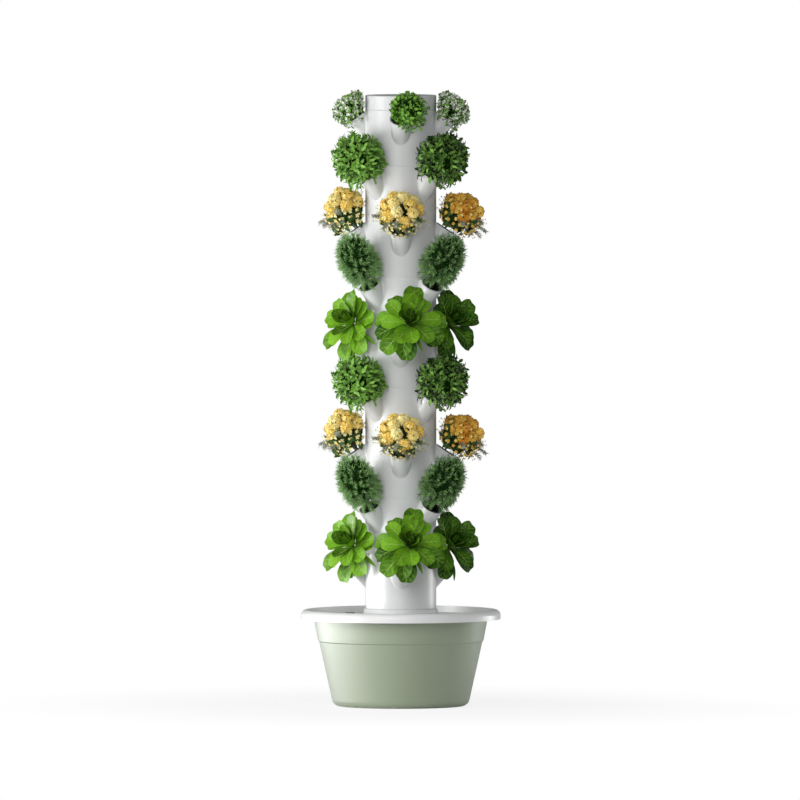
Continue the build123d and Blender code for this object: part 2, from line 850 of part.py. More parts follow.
for side, facing in enumerate(straight_facings):
    turn = side * port_step
    planted_group(f"net_cups_{facing}", turn, (cup, odd_tiers))
    planted_group(f"grow_sponges_{facing}", turn, (sponge, odd_tiers))
    planted_group(f"lettuces_{facing}", turn, (lettuce, lettuce_tiers))
    planted_group(f"flowers_{facing}", turn, (flower_bunch, flower_tiers))
    planted_group(f"herbs_{facing}", turn, (herb_tuft, herb_tiers))

for side, facing in enumerate(slanted_facings):
    turn = (side + 0.5) * port_step
    planted_group(f"net_cups_{facing}", turn, (cup, even_tiers))
    planted_group(f"grow_sponges_{facing}", turn, (sponge, even_tiers))
    planted_group(f"shrubs_{facing}", turn, (needle_shrub, needle_tiers), (leafy_shrub, leafy_tiers))
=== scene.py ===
# %% [markdown]
# # Dressing a hydroponic tower
# The tower is a stack of nine white tubes on a green water tub, with a plant in each of its 36 ports.
# The CAD model holds every rigid piece at its real size and place. This script loads that model, gives each
# rigid piece its finish, and grows the plants and foam plugs that are only plain solids in the CAD.

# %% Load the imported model
import math
from collections import namedtuple

import bmesh
import bpy
import numpy as np
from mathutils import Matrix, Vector


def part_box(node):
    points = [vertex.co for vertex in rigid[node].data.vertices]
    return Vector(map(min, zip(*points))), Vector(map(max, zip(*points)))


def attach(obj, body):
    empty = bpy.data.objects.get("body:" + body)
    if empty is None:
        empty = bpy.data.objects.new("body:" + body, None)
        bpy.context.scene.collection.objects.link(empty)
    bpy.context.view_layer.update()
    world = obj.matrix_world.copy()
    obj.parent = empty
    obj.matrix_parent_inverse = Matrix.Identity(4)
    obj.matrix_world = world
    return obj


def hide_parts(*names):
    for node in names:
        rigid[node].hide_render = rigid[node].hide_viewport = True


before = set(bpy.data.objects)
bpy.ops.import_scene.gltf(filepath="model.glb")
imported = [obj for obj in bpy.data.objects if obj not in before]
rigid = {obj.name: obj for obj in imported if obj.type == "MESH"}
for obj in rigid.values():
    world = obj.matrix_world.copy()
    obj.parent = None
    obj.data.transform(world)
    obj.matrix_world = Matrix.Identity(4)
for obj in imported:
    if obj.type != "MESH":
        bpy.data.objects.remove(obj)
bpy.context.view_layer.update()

# %% [markdown]
# ## Camera
# The picture shows the tower from straight ahead and a touch above, with almost no perspective: the rims
# at the top and at the bottom are equally flat. A very long lens from far away gives that view.

# %% Camera
PICTURE_WIDTH = 1.803  # metres across the picture at the tower
CAMERA_DISTANCE = 60.0
CAMERA_RISE = math.radians(2.2)
AIM = Vector((-0.0018, 0.0, 0.690))

bpy.ops.object.select_all(action="DESELECT")
bpy.ops.object.camera_add()
camera = bpy.context.object
camera.data.sensor_width = 36
camera.data.lens = camera.data.sensor_width * CAMERA_DISTANCE / PICTURE_WIDTH
camera.data.clip_end = 3 * CAMERA_DISTANCE
backwards = Vector((0, -math.cos(CAMERA_RISE), math.sin(CAMERA_RISE)))
camera.location = AIM + CAMERA_DISTANCE * backwards
camera.rotation_euler = (-backwards).to_track_quat("-Z", "Y").to_euler()
bpy.context.scene.camera = camera
bpy.context.scene.view_settings.view_transform = "Standard"
print("lens", round(camera.data.lens), "mm")

# %% [markdown]
# ## Node helpers
# Every finish below is a small node tree. Three helpers keep those trees short: one adds a node and links
# or sets its sockets, one mixes two colours, and one does a sum.


# %% Node helpers
def put(tree, kind, sockets=None, **settings):
    """Adds a node. A socket's value is either a plain value or another node's socket to link from."""
    node = tree.nodes.new(kind)
    for key, value in settings.items():
        setattr(node, key, value)
    for key, value in (sockets or {}).items():
        if isinstance(value, bpy.types.NodeSocket):
            tree.links.new(value, node.inputs[key])
        else:
            node.inputs[key].default_value = value
    return node


def mixed(tree, share, first, second):
    """A colour that goes from first to second as share goes from 0 to 1."""
    return put(tree, "ShaderNodeMix", {0: share, 6: first, 7: second}, data_type="RGBA").outputs[2]


def calc(tree, operation, first, second=0.0):
    """The result of one sum on two values."""
    return put(tree, "ShaderNodeMath", {0: first, 1: second}, operation=operation).outputs[0]


def ranged(tree, value, low, high, to_low=0.0, to_high=1.0):
    """A value moved smoothly from one range to another, and kept inside it."""
    sockets = {"Value": value, "From Min": low, "From Max": high, "To Min": to_low, "To Max": to_high}
    return put(tree, "ShaderNodeMapRange", sockets, interpolation_type="SMOOTHSTEP").outputs[0]


def noise(tree, place, scale, detail=2.0):
    """A cloud pattern of so many lumps to the metre."""
    sockets = {"Vector": place, "Scale": scale, "Detail": detail}
    return put(tree, "ShaderNodeTexNoise", sockets).outputs["Fac"]


def object_place(tree):
    """The point on the surface, in metres in the shared frame."""
    return put(tree, "ShaderNodeTexCoord").outputs["Object"]


def rgba(red, green, blue):
    """A colour from its three 0-255 values as seen on a screen."""
    linear = [c / 255 / 12.92 if c < 10.3 else ((c / 255 + 0.055) / 1.055) ** 2.4 for c in (red, green, blue)]
    return (*linear, 1.0)


def empty_material(name):
    """A material whose node tree has nothing in it yet."""
    material = bpy.data.materials.new(name)
    material.use_nodes = True
    material.node_tree.nodes.clear()
    return material, material.node_tree


def empty_group(name, takes, gives):
    """A shader node group with its named sockets, and its input and output nodes."""
    group = bpy.data.node_groups.new(name, "ShaderNodeTree")
    for label, kind, value in takes:
        socket = group.interface.new_socket(label, in_out="INPUT", socket_type="NodeSocket" + kind)
        socket.default_value = value
    for label, kind in gives:
        group.interface.new_socket(label, in_out="OUTPUT", socket_type="NodeSocket" + kind)
    return group, put(group, "NodeGroupInput").outputs, put(group, "NodeGroupOutput")


# %% [markdown]
# ## Studio
# The tower stands on white, lit from the left. A soft lamp on the left shades the column and tub towards the
# right, a weak one in front and the world fill the shade, and a small one at the back draws the right edge. A
# long low panel on the left only shows as a sheen on the glossy tub. Where the camera looks past the tower it
# sees plain white, by Light Path, so that the white costs no extra light. Reflections see the dimmer studio,
# which leaves a thin grey line along the edges of the white plastic.

# %% Studio world and floor
FILL_LEVEL = 0.24
FLOOR_SIZE = 16.0
FLOOR_SHADOW = 0.16  # how much of the real shadow the white floor keeps near the tub


def seen_directly(tree):
    """1 where the camera or a see-through ray looks, 0 for the light on surfaces and in reflections."""
    path = put(tree, "ShaderNodeLightPath").outputs
    return calc(tree, "MAXIMUM", path["Is Camera Ray"], path["Is Transmission Ray"])


world = bpy.data.worlds.new("studio_white")
bpy.context.scene.world = world
world.use_nodes = True
tree = world.node_tree
tree.nodes.clear()
fill = put(tree, "ShaderNodeBackground", {"Color": (0.96, 0.98, 1.0, 1.0), "Strength": FILL_LEVEL})
white = put(tree, "ShaderNodeBackground", {"Color": (1.0, 1.0, 1.0, 1.0), "Strength": 1.0})
sky = put(tree, "ShaderNodeMixShader", {0: seen_directly(tree), 1: fill.outputs[0], 2: white.outputs[0]})
put(tree, "ShaderNodeOutputWorld", {"Surface": sky.outputs[0]})

bpy.ops.object.select_all(action="DESELECT")
bpy.ops.mesh.primitive_plane_add(size=FLOOR_SIZE, location=(0, 0, -0.0004))
floor = bpy.context.object
floor.name = "studio_floor"
floor_white, tree = empty_material("floor_white")
distance = put(tree, "ShaderNodeVectorMath", {0: object_place(tree)}, operation="LENGTH").outputs["Value"]
plainness = ranged(tree, distance, 0.25, 1.1, 1.0 - FLOOR_SHADOW, 1.0)
paper = put(tree, "ShaderNodeBsdfDiffuse", {"Color": (0.93, 0.93, 0.93, 1.0)})
glow = put(tree, "ShaderNodeEmission", {"Color": (1.0, 1.0, 1.0, 1.0), "Strength": 1.0})
share = calc(tree, "MULTIPLY", put(tree, "ShaderNodeLightPath").outputs["Is Camera Ray"], plainness)
both = put(tree, "ShaderNodeMixShader", {0: share, 1: paper.outputs[0], 2: glow.outputs[0]})
put(tree, "ShaderNodeOutputMaterial", {"Surface": both.outputs[0]})
floor.data.materials.append(floor_white)
print("floor", FLOOR_SIZE, "m across")


# %% Lamps
def softbox(name, place, aim, width, height, power):
    """A rectangular lamp that faces the point aim. The camera doesn't see the lamp itself."""
    bpy.ops.object.select_all(action="DESELECT")
    bpy.ops.object.light_add(type="AREA", location=place)
    lamp = bpy.context.object
    lamp.name = name
    lamp.data.shape = "RECTANGLE"
    lamp.data.size, lamp.data.size_y = width, height
    lamp.data.energy = power
    lamp.rotation_euler = (Vector(aim) - Vector(place)).to_track_quat("-Z", "Y").to_euler()
    lamp.visible_camera = False
    return lamp


softbox("key_left", (-2.2, -0.9, 0.8), (0, 0, 0.65), 0.9, 1.3, 34)
softbox("front_fill", (-0.7, -3.2, 1.5), (0, 0, 0.75), 1.8, 1.8, 40)
softbox("edge_right", (1.1, 0.5, 0.22), (0.15, 0, 0.16), 0.4, 0.25, 3.4)
sheen = softbox("tub_sheen", (-1.7, 0.15, 0.12), (-0.15, 0, 0.10), 2.7, 0.22, 80)
sheen.visible_diffuse = False
print("four lamps")

# %% [markdown]
# ## Moulded plastic
# Every rigid piece is moulded plastic or rubber. A moulding is never quite even: its tone drifts a little,
# the polish of the mould leaves long soft streaks, and close up it has a fine skin. One node group makes
# those three, and each finish places it with its own colour, roughness and grain.

# %% Moulded skin group
skin, given, made = empty_group(
    "moulded_skin",
    [
        ("Tone", "Color", (0.8, 0.8, 0.8, 1.0)),
        ("Roughness", "Float", 0.4),
        ("Streak", "Float", 0.1),
        ("Drift", "Float", 0.06),
        ("Grain", "Float", 900.0),
    ],
    [("Color", "Color"), ("Roughness", "Float"), ("Height", "Float")],
)
place = object_place(skin)
cloud = noise(skin, place, 7.0, 3.0)
fine = noise(skin, place, given["Grain"], 2.0)
drawn = put(skin, "ShaderNodeMapping", {"Vector": place, "Scale": (1.0, 1.0, 0.05)}).outputs[0]
streak = noise(skin, drawn, 90.0, 3.0)
darker = put(skin, "ShaderNodeHueSaturation", {"Value": 0.72, "Color": given["Tone"]}).outputs[0]
uneven = calc(skin, "MULTIPLY", calc(skin, "ADD", cloud, calc(skin, "MULTIPLY", streak, 0.4)), given["Drift"])
skin.links.new(mixed(skin, uneven, given["Tone"], darker), made.inputs["Color"])
worn = calc(skin, "MULTIPLY", calc(skin, "SUBTRACT", streak, 0.5), given["Streak"])
skin.links.new(calc(skin, "ADD", given["Roughness"], worn), made.inputs["Roughness"])
skin.links.new(calc(skin, "ADD", fine, calc(skin, "MULTIPLY", cloud, 0.5)), made.inputs["Height"])
print("group", skin.name)


# %% Rigid finishes
def moulded(
    name, tone, roughness, streak=0.1, drift=0.2, grain=900.0, bump=0.05, coat=0.0, coat_rough=0.1, gloss=0.5
):
    """A moulded plastic or rubber finish."""
    material, tree = empty_material(name)
    values = {"Tone": tone, "Roughness": roughness, "Streak": streak, "Drift": drift, "Grain": grain}
    group = put(tree, "ShaderNodeGroup", values, node_tree=skin)
    relief = put(
        tree, "ShaderNodeBump", {"Strength": bump, "Distance": 0.0006, "Height": group.outputs["Height"]}
    )
    shader = put(
        tree,
        "ShaderNodeBsdfPrincipled",
        {
            "Base Color": group.outputs["Color"],
            "Roughness": group.outputs["Roughness"],
            "Normal": relief.outputs[0],
            "Specular IOR Level": gloss,
            "Coat Weight": coat,
            "Coat Roughness": coat_rough,
        },
    )
    put(tree, "ShaderNodeOutputMaterial", {"Surface": shader.outputs[0]})
    return material


tub_green = moulded("tub_green", rgba(154, 167, 141), 0.50, 0.10, 0.25, 420, 0.04, 1.0, 0.42)
lid_white = moulded("lid_white", rgba(242, 242, 241), 0.34, 0.10, 0.16, 800, 0.05)
tower_white = moulded("tower_white", rgba(228, 229, 229), 0.42, 0.14, 0.16, 1000, 0.06, 0.1, 0.25)
inner_white = moulded("inner_white", rgba(214, 216, 216), 0.5, 0.16, 0.2, 1100, 0.08)
pump_black = moulded("pump_black", rgba(34, 35, 37), 0.48, 0.2, 0.5, 1500, 0.2)
impeller_blue = moulded("impeller_blue", rgba(58, 74, 96), 0.4, 0.15, 0.4, 1200, 0.1)
dial_grey = moulded("dial_grey", rgba(132, 134, 138), 0.45, 0.15, 0.3, 1200, 0.12)
shaft_ceramic = moulded("shaft_ceramic", rgba(232, 230, 222), 0.18, 0.06, 0.2, 700, 0.03, 0.4, 0.05)
rubber_black = moulded("rubber_black", rgba(30, 30, 31), 0.72, 0.15, 0.5, 1800, 0.25)
cup_black = moulded("cup_black", rgba(28, 30, 29), 0.38, 0.18, 0.4, 1300, 0.12)

FINISH_BY_START = {
    "reservoir_tub": tub_green,
    "reservoir_lid": lid_white,
    "filler_plug": lid_white,
    "cable_grommet": rubber_black,
    "tower_": tower_white,
    "top_cap": tower_white,
    "water_spreader": inner_white,
    "riser_": inner_white,
    "outlet_adapter": dial_grey,
    "pump_housing": pump_black,
    "pump_cover": pump_black,
    "pump_impeller": impeller_blue,
    "pump_shaft": shaft_ceramic,
    "pump_feet": rubber_black,
    "flow_dial": dial_grey,
    "net_cups": cup_black,
}
dressed = 0
for name, node in rigid.items():
    for start, finish in FINISH_BY_START.items():
        if name.startswith(start):
            node.data.materials.clear()
            node.data.materials.append(finish)
            dressed += 1
print(dressed, "rigid nodes dressed")

# %% [markdown]
# ## Leaf, petal and stem finishes
# A leaf is painted lighter where the sun reaches it, has a pale rib down its middle, and side veins that run
# forward from the rib. The blade's own UV map gives where a point lies on its leaf: across in U and from
# stalk to tip in V. A number kept on each leaf, its shade, is painted light and shade: low for leaves deep
# inside a plant and on the tower's shaded right side, high towards the tips. It also makes neighbours differ at
# random.

# %% Leaf tissue group
tissue, given, made = empty_group(
    "leaf_tissue",
    [
        ("Light", "Color", (0.2, 0.4, 0.05, 1.0)),
        ("Dark", "Color", (0.05, 0.15, 0.02, 1.0)),
        ("Rib", "Color", (0.4, 0.55, 0.2, 1.0)),
        ("Rib Width", "Float", 0.16),
        ("Veins", "Float", 7.0),
        ("Mottle", "Float", 90.0),
    ],
    [("Color", "Color"), ("Roughness", "Float"), ("Height", "Float")],
)
blade = put(tissue, "ShaderNodeSeparateXYZ", {0: put(tissue, "ShaderNodeUVMap", uv_map="blade").outputs[0]})
from_middle = calc(tissue, "ABSOLUTE", calc(tissue, "SUBTRACT", blade.outputs[0], 0.5))
aside = calc(tissue, "MULTIPLY", from_middle, 2.0)
tip = blade.outputs[1]
shade = put(tissue, "ShaderNodeAttribute", attribute_name="shade").outputs["Fac"]
lumps = noise(tissue, object_place(tissue), given["Mottle"], 3.0)
rib_edge = calc(tissue, "MULTIPLY", given["Rib Width"], calc(tissue, "SUBTRACT", 1.15, tip))
rib = ranged(tissue, aside, rib_edge, calc(tissue, "MULTIPLY", rib_edge, 0.35))
forward = calc(tissue, "SUBTRACT", tip, calc(tissue, "MULTIPLY", aside, 0.22))
veins_passed = calc(tissue, "MULTIPLY", forward, given["Veins"])
wave = calc(tissue, "SINE", calc(tissue, "MULTIPLY", veins_passed, 2 * math.pi))
vein = calc(tissue, "MULTIPLY", ranged(tissue, wave, 0.80, 1.0), ranged(tissue, aside, 1.0, 0.45))
lightness = calc(tissue, "ADD", shade, calc(tissue, "MULTIPLY", calc(tissue, "SUBTRACT", lumps, 0.5), 0.7))
flesh = mixed(tissue, ranged(tissue, lightness, 0.0, 1.0), given["Dark"], given["Light"])
lines = calc(tissue, "MAXIMUM", calc(tissue, "MULTIPLY", rib, 0.85), calc(tissue, "MULTIPLY", vein, 0.38))
tissue.links.new(mixed(tissue, lines, flesh, given["Rib"]), made.inputs["Color"])
dull = calc(tissue, "ADD", 0.34, calc(tissue, "MULTIPLY", lumps, 0.24))
tissue.links.new(dull, made.inputs["Roughness"])
puffed = calc(tissue, "SUBTRACT", calc(tissue, "MULTIPLY", lumps, 0.8), calc(tissue, "MULTIPLY", lines, 0.7))
tissue.links.new(puffed, made.inputs["Height"])
print("group", tissue.name)


# %% Plant finishes
def leafy(name, light, dark, rib, rib_width=0.16, veins=6.0, mottle=90.0, bump=0.35, gloss=0.16):
    """A leaf finish with its own greens."""
    material, tree = empty_material(name)
    values = {
        "Light": light, "Dark": dark, "Rib": rib, "Rib Width": rib_width, "Veins": veins, "Mottle": mottle
    }
    group = put(tree, "ShaderNodeGroup", values, node_tree=tissue)
    relief = put(
        tree, "ShaderNodeBump", {"Strength": bump, "Distance": 0.0008, "Height": group.outputs["Height"]}
    )
    sockets = {
        "Base Color": group.outputs["Color"],
        "Roughness": group.outputs["Roughness"],
        "Normal": relief.outputs[0],
        "Specular IOR Level": gloss,
    }
    shader = put(tree, "ShaderNodeBsdfPrincipled", sockets)
    put(tree, "ShaderNodeOutputMaterial", {"Surface": shader.outputs[0]})
    return material


lettuce_green = leafy("lettuce_green", rgba(128, 188, 36), rgba(28, 72, 4), rgba(176, 208, 104), 0.11, 6.5, 60)
shrub_green = leafy("shrub_green", rgba(128, 182, 74), rgba(14, 38, 12), rgba(150, 190, 104), 0.2, 4, 130)
needle_green = leafy("needle_green", rgba(152, 198, 122), rgba(22, 52, 22), rgba(160, 202, 130), 0.1, 1, 70)
grey_green = leafy("grey_green", rgba(190, 194, 176), rgba(104, 112, 94), rgba(200, 204, 188), 0.1, 1, 70)
# A near-black green without gloss, used only for the lumps in the middle of bushes and herbs: painted shade
# inside the plants.
painted_shade_core = leafy("painted_shade_core", rgba(36, 68, 22), rgba(18, 40, 12), rgba(30, 56, 18), 0.1, 1, 90, gloss=0.0)
flower_leaf = leafy("flower_leaf", rgba(70, 104, 48), rgba(20, 44, 18), rgba(110, 142, 84), 0.16, 5, 120)
herb_green = leafy("herb_green", rgba(120, 176, 64), rgba(40, 84, 22), rgba(154, 196, 100), 0.2, 4, 160)
flecked_green = leafy("flecked_green", rgba(244, 246, 236), rgba(150, 172, 130), rgba(190, 206, 170), 0.2, 3, 260)

petal_gold, tree = empty_material("petal_gold")
shade = put(tree, "ShaderNodeAttribute", attribute_name="shade").outputs["Fac"]
tones = put(tree, "ShaderNodeValToRGB", {0: shade})
tones.color_ramp.elements[0].color = rgba(255, 242, 172)
tones.color_ramp.elements[1].color = rgba(232, 160, 42)
tones.color_ramp.elements.new(0.45).color = rgba(255, 218, 100)
blade = put(tree, "ShaderNodeSeparateXYZ", {0: put(tree, "ShaderNodeUVMap", uv_map="blade").outputs[0]})
throat = ranged(tree, blade.outputs[1], 0.5, 0.0, 0.0, 0.4)
deep = put(tree, "ShaderNodeHueSaturation", {"Saturation": 1.35, "Value": 0.72, "Color": tones.outputs[0]})
rays = noise(tree, put(tree, "ShaderNodeMapping", {
    "Vector": put(tree, "ShaderNodeUVMap", uv_map="blade").outputs[0], "Scale": (9.0, 0.8, 1.0)
}).outputs[0], 1.0, 2.0)
shader = put(
    tree,
    "ShaderNodeBsdfPrincipled",
    {
        "Base Color": mixed(tree, calc(tree, "MAXIMUM", throat, calc(tree, "MULTIPLY", rays, 0.18)),
                            tones.outputs[0], deep.outputs[0]),
        "Roughness": ranged(tree, rays, 0.2, 0.8, 0.5, 0.68),
        "Normal": put(tree, "ShaderNodeBump", {"Strength": 0.3, "Distance": 0.0004, "Height": rays}).outputs[0],
    },
)
put(tree, "ShaderNodeOutputMaterial", {"Surface": shader.outputs[0]})

stem_green, tree = empty_material("stem_green")
place = object_place(tree)
grain = noise(tree, put(tree, "ShaderNodeMapping", {"Vector": place, "Scale": (1, 1, 0.2)}).outputs[0], 700, 3)
bark = mixed(tree, ranged(tree, noise(tree, place, 40, 2), 0.35, 0.65), rgba(86, 112, 48), rgba(96, 84, 52))
shader = put(
    tree,
    "ShaderNodeBsdfPrincipled",
    {
        "Base Color": mixed(tree, calc(tree, "MULTIPLY", grain, 0.5), bark, rgba(52, 62, 30)),
        "Roughness": ranged(tree, grain, 0.2, 0.8, 0.5, 0.75),
        "Normal": put(tree, "ShaderNodeBump", {"Strength": 0.4, "Distance": 0.0004, "Height": grain}).outputs[0],
    },
)
put(tree, "ShaderNodeOutputMaterial", {"Surface": shader.outputs[0]})
print("plant finishes ready")

# %% [markdown]
# ## Modelling one leaf
# A leaf starts as a flat grid, as long as the leaf and one unit wide. It is folded on its rib, its border
# is lifted in turns for a wavy edge, each row is drawn in to the leaf's outline, and at last it is curled row
# by row from the tip. A wall that thins out to nothing at the border makes it a closed solid. The leaf lies
# along Y with its upper side to +Z.

# %% Edit helpers
Cutting = namedtuple("Cutting", "points corners blade")


def started(operator, **sizes):
    """Adds a primitive with nothing else selected, and opens it for editing."""
    bpy.ops.object.select_all(action="DESELECT")
    operator(**sizes)
    bpy.ops.object.mode_set(mode="EDIT")
    bpy.ops.mesh.select_mode(type="VERT")
    return bpy.context.object


def pick(test):
    """Selects the vertices for which the test is true, in edit mode."""
    shape = bmesh.from_edit_mesh(bpy.context.object.data)
    bpy.ops.mesh.select_all(action="DESELECT")
    for vertex in shape.verts:
        vertex.select_set(test(vertex))
    shape.select_flush_mode()
    bmesh.update_edit_mesh(bpy.context.object.data)


def finished(shape, *modifiers):
    """Leaves edit mode, applies the modifiers, and takes the shape's mesh as a cutting to copy."""
    bpy.ops.object.mode_set(mode="OBJECT")
    for kind, settings in modifiers:
        modifier = shape.modifiers.new(kind.lower(), kind)
        for key, value in settings.items():
            setattr(modifier, key, value)
        bpy.ops.object.modifier_apply(modifier=modifier.name)
    bpy.ops.object.mode_set(mode="EDIT")
    bpy.ops.mesh.select_all(action="SELECT")
    bpy.ops.mesh.remove_doubles(threshold=1e-6)
    bpy.ops.mesh.quads_convert_to_tris()
    bpy.ops.object.mode_set(mode="OBJECT")
    mesh = shape.data
    points = np.array([vertex.co for vertex in mesh.vertices])
    corners = np.array([face.vertices for face in mesh.polygons])
    blade = np.array([corner.uv for corner in mesh.uv_layers[0].data])
    bpy.data.objects.remove(shape)
    return Cutting(points, corners, blade)


def model_leaf(length, widths, columns=2, fold=0.25, ruffle=0.0, curl=0.6, wall=0.0005, rounds=0):
    """A closed leaf with one width per row of its grid, from stalk to tip."""
    rows = len(widths) - 1
    across = columns + 1
    leaf = started(bpy.ops.mesh.primitive_grid_add, x_subdivisions=columns, y_subdivisions=rows, size=1)
    bpy.ops.transform.translate(value=(0, 0.5, 0))
    bpy.ops.transform.resize(value=(1, length, 1), center_override=(0, 0, 0))
    for column in range(across):
        from_rib = abs(2 * column / columns - 1)
        pick(lambda v: v.index % across == column)
        bpy.ops.transform.translate(value=(0, 0, fold * from_rib**1.5 / 2))
    if ruffle:
        pick(lambda v: v.index % across in (0, columns) and v.index // across % 2)
        bpy.ops.transform.translate(value=(0, 0, ruffle))
        pick(lambda v: v.index % across in (0, columns) and v.index // across % 2 == 0)
        bpy.ops.transform.translate(value=(0, 0, -ruffle))
    for row, width in enumerate(widths):
        pick(lambda v: v.index // across == row)
        bpy.ops.transform.resize(value=(width, 1, width), center_override=(0, length * row / rows, 0))
    for row in reversed(range(1, rows)):
        pick(lambda v: v.index // across >= row)
        hinge = (0, length * row / rows, 0)
        bpy.ops.transform.rotate(value=curl / rows, orient_axis="X", center_override=hinge)
    pick(lambda v: 0 < v.index % across < columns and 0 < v.index // across < rows)
    bpy.ops.object.vertex_group_assign_new()
    thick = {"thickness": wall, "offset": 0.0, "use_rim": False, "vertex_group": leaf.vertex_groups[0].name}
    smooth = [("SUBSURF", {"levels": rounds, "render_levels": rounds})] if rounds else []
    return finished(leaf, *smooth, ("SOLIDIFY", thick))


# %% Cuttings
outer_lettuce = model_leaf(
    0.080, [0.008, 0.009, 0.013, 0.021, 0.031, 0.039, 0.043, 0.043, 0.037, 0.023],
    columns=6, fold=0.26, ruffle=0.03, curl=0.75, wall=0.0012, rounds=1,
)
inner_lettuce = model_leaf(
    0.062, [0.008, 0.009, 0.014, 0.022, 0.030, 0.034, 0.034, 0.028, 0.017],
    columns=6, fold=0.5, ruffle=0.035, curl=-0.25, wall=0.0012, rounds=1,
)
strap_lettuce = model_leaf(
    0.066, [0.003, 0.004, 0.006, 0.009, 0.0095, 0.007, 0.002],
    columns=4, fold=0.5, curl=0.8, wall=0.0008, rounds=1,
)
shrub_leaf = model_leaf(0.0165, [0.0015, 0.0068, 0.0062, 0.0008], fold=0.35, curl=0.7)
flower_base_leaf = model_leaf(0.026, [0.003, 0.014, 0.013, 0.002], fold=0.35, curl=0.8)
herb_leaf = model_leaf(0.012, [0.0015, 0.0075, 0.0065, 0.001], fold=0.4, curl=0.6, wall=0.0004)
print("leaf faces:", len(outer_lettuce.corners), len(shrub_leaf.corners), len(herb_leaf.corners))

# %% [markdown]
# ## Needle and floret
# Both repeat by the thousand, so they stay plain. A needle is a cone of three sides whose base is drawn out
# to a point, so that it is closed with six faces. A floret is a flat upturned cone of 15 sides: every third
# point of its rim is drawn in, which leaves five petals of two points each, and its middle is pressed in.


# %% Needle and floret
def model_needle(length, thickness):
    """A three-sided spindle along Y, widest in its lower half."""
    needle = started(
        bpy.ops.mesh.primitive_cone_add, vertices=3, radius1=thickness / 2, radius2=0, depth=0.7 * length,
        end_fill_type="TRIFAN",
    )
    pick(lambda v: v.co.z < 0 and v.co.xy.length < thickness / 10)
    bpy.ops.transform.translate(value=(0, 0, -0.3 * length))
    pick(lambda v: True)
    bpy.ops.transform.translate(value=(0, 0, 0.65 * length))
    bpy.ops.transform.rotate(value=math.pi / 2, orient_axis="X", center_override=(0, 0, 0))
    cut = finished(needle)
    if cut.points[:, 1].mean() < 0:
        cut.points[:, 1:] *= -1
    place = cut.points[cut.corners.ravel()]
    cut.blade[:] = np.stack([place[:, 0] / thickness + 0.5, place[:, 1] / length], 1).clip(0, 1)
    return cut


def model_floret(radius, depth):
    """A five-petalled cup that opens to +Z."""
    flower = started(
        bpy.ops.mesh.primitive_cone_add, vertices=3 * PETALS, radius1=radius, radius2=0, depth=depth,
        end_fill_type="TRIFAN",
    )
    bpy.ops.transform.resize(value=(1, 1, -1), center_override=(0, 0, 0))
    bpy.ops.mesh.flip_normals()
    rim = sorted((v.index for v in bmesh.from_edit_mesh(flower.data).verts if v.co.xy.length > radius / 2))
    pick(lambda v: v.index in rim[::3])
    bpy.ops.transform.resize(value=(0.55, 0.55, 1), center_override=(0, 0, 0))
    bpy.ops.transform.translate(value=(0, 0, -0.2 * depth))
    pick(lambda v: v.index in rim[1::3])
    bpy.ops.transform.translate(value=(0, 0, 0.35 * depth))
    pick(lambda v: v.co.z > 0 and v.co.xy.length < radius / 10)
    bpy.ops.transform.translate(value=(0, 0, -0.55 * depth))
    cut = finished(flower)
    place = cut.points[cut.corners.ravel()]
    cut.blade[:, 0] = np.arctan2(place[:, 1], place[:, 0]) / (2 * math.pi) + 0.5
    cut.blade[:, 1] = np.hypot(place[:, 0], place[:, 1]) / radius
    return cut


def model_core(radius, height):
    """A lumpy egg round the origin, a dark lump that stands in for the shade in the middle of a bush."""
    core = started(bpy.ops.mesh.primitive_ico_sphere_add, subdivisions=4, radius=1, calc_uvs=True)
    bpy.ops.transform.resize(value=(radius, radius, height / 2), center_override=(0, 0, 0))
    bumps = bpy.data.textures.new("core_lumps", "CLOUDS")
    bumps.noise_scale = 0.012
    return finished(core, ("DISPLACE", {"texture": bumps, "strength": 0.014, "texture_coords": "LOCAL"}))


PETALS = 5
needle = model_needle(0.0120, 0.0018)
floret = model_floret(0.0062, 0.0034)
print("needle", len(needle.corners), "faces, floret", len(floret.corners), "faces")

# %% [markdown]
# ## Ports
# Each plant grows from a port that leans 35 degrees out of the column. A port's own frame has its origin in
# the middle of the mouth and Z along its axis, so that a plant is grown once in that frame and then set in
# any port. Leaves that would reach into the column or another port, in place or while their cup is pulled out,
# are left off, as a grower would trim them.

# %% Ports
PORT_TILT = math.radians(35)
PORT_REACH = 0.09985
PORT_HEIGHT = 0.106
SPIGOT_LENGTH = 0.010  # the part of a tier that stands in the tier below
PORT_DEPTH = 0.095
PORT_CLEAR = 0.0272
COLUMN_CLEAR = 0.0845
CUP_TOP = 0.0020
CUP_ROOM = 0.0190  # inside this radius a plant stands in its own cup
NEIGHBOUR_RISE = 0.16
SPONGE_TOP = -0.0206
PULLS = (0.0, 0.02, 0.04, 0.058)  # how far a cup is out of its port where its leaves are tested
STRAIGHT = {"front": 0, "right": 90, "back": 180, "left": 270}
DIAGONAL = {"front_right": 45, "back_right": 135, "back_left": 225, "front_left": 315}


def port_frame(tier, angle):
    """The 4x4 frame of one port: origin at its mouth, Z along its axis, -Y outwards."""
    turn, low = math.radians(angle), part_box(f"tower_tier_{tier}")[0].z + SPIGOT_LENGTH
    c, s = math.cos(turn), math.sin(turn)
    spin = np.array([[c, -s, 0], [s, c, 0], [0, 0, 1]])
    c, s = math.cos(PORT_TILT), math.sin(PORT_TILT)
    tip = np.array([[1, 0, 0], [0, c, -s], [0, s, c]])
    port = np.eye(4)
    port[:3, :3] = spin @ tip
    port[:3, 3] = spin @ (0, -PORT_REACH, low + PORT_HEIGHT)
    return port


ports = {
    (tier, angle): port_frame(tier, angle)
    for tier in range(1, 10)
    for angle in (STRAIGHT if tier % 2 else DIAGONAL).values()
}


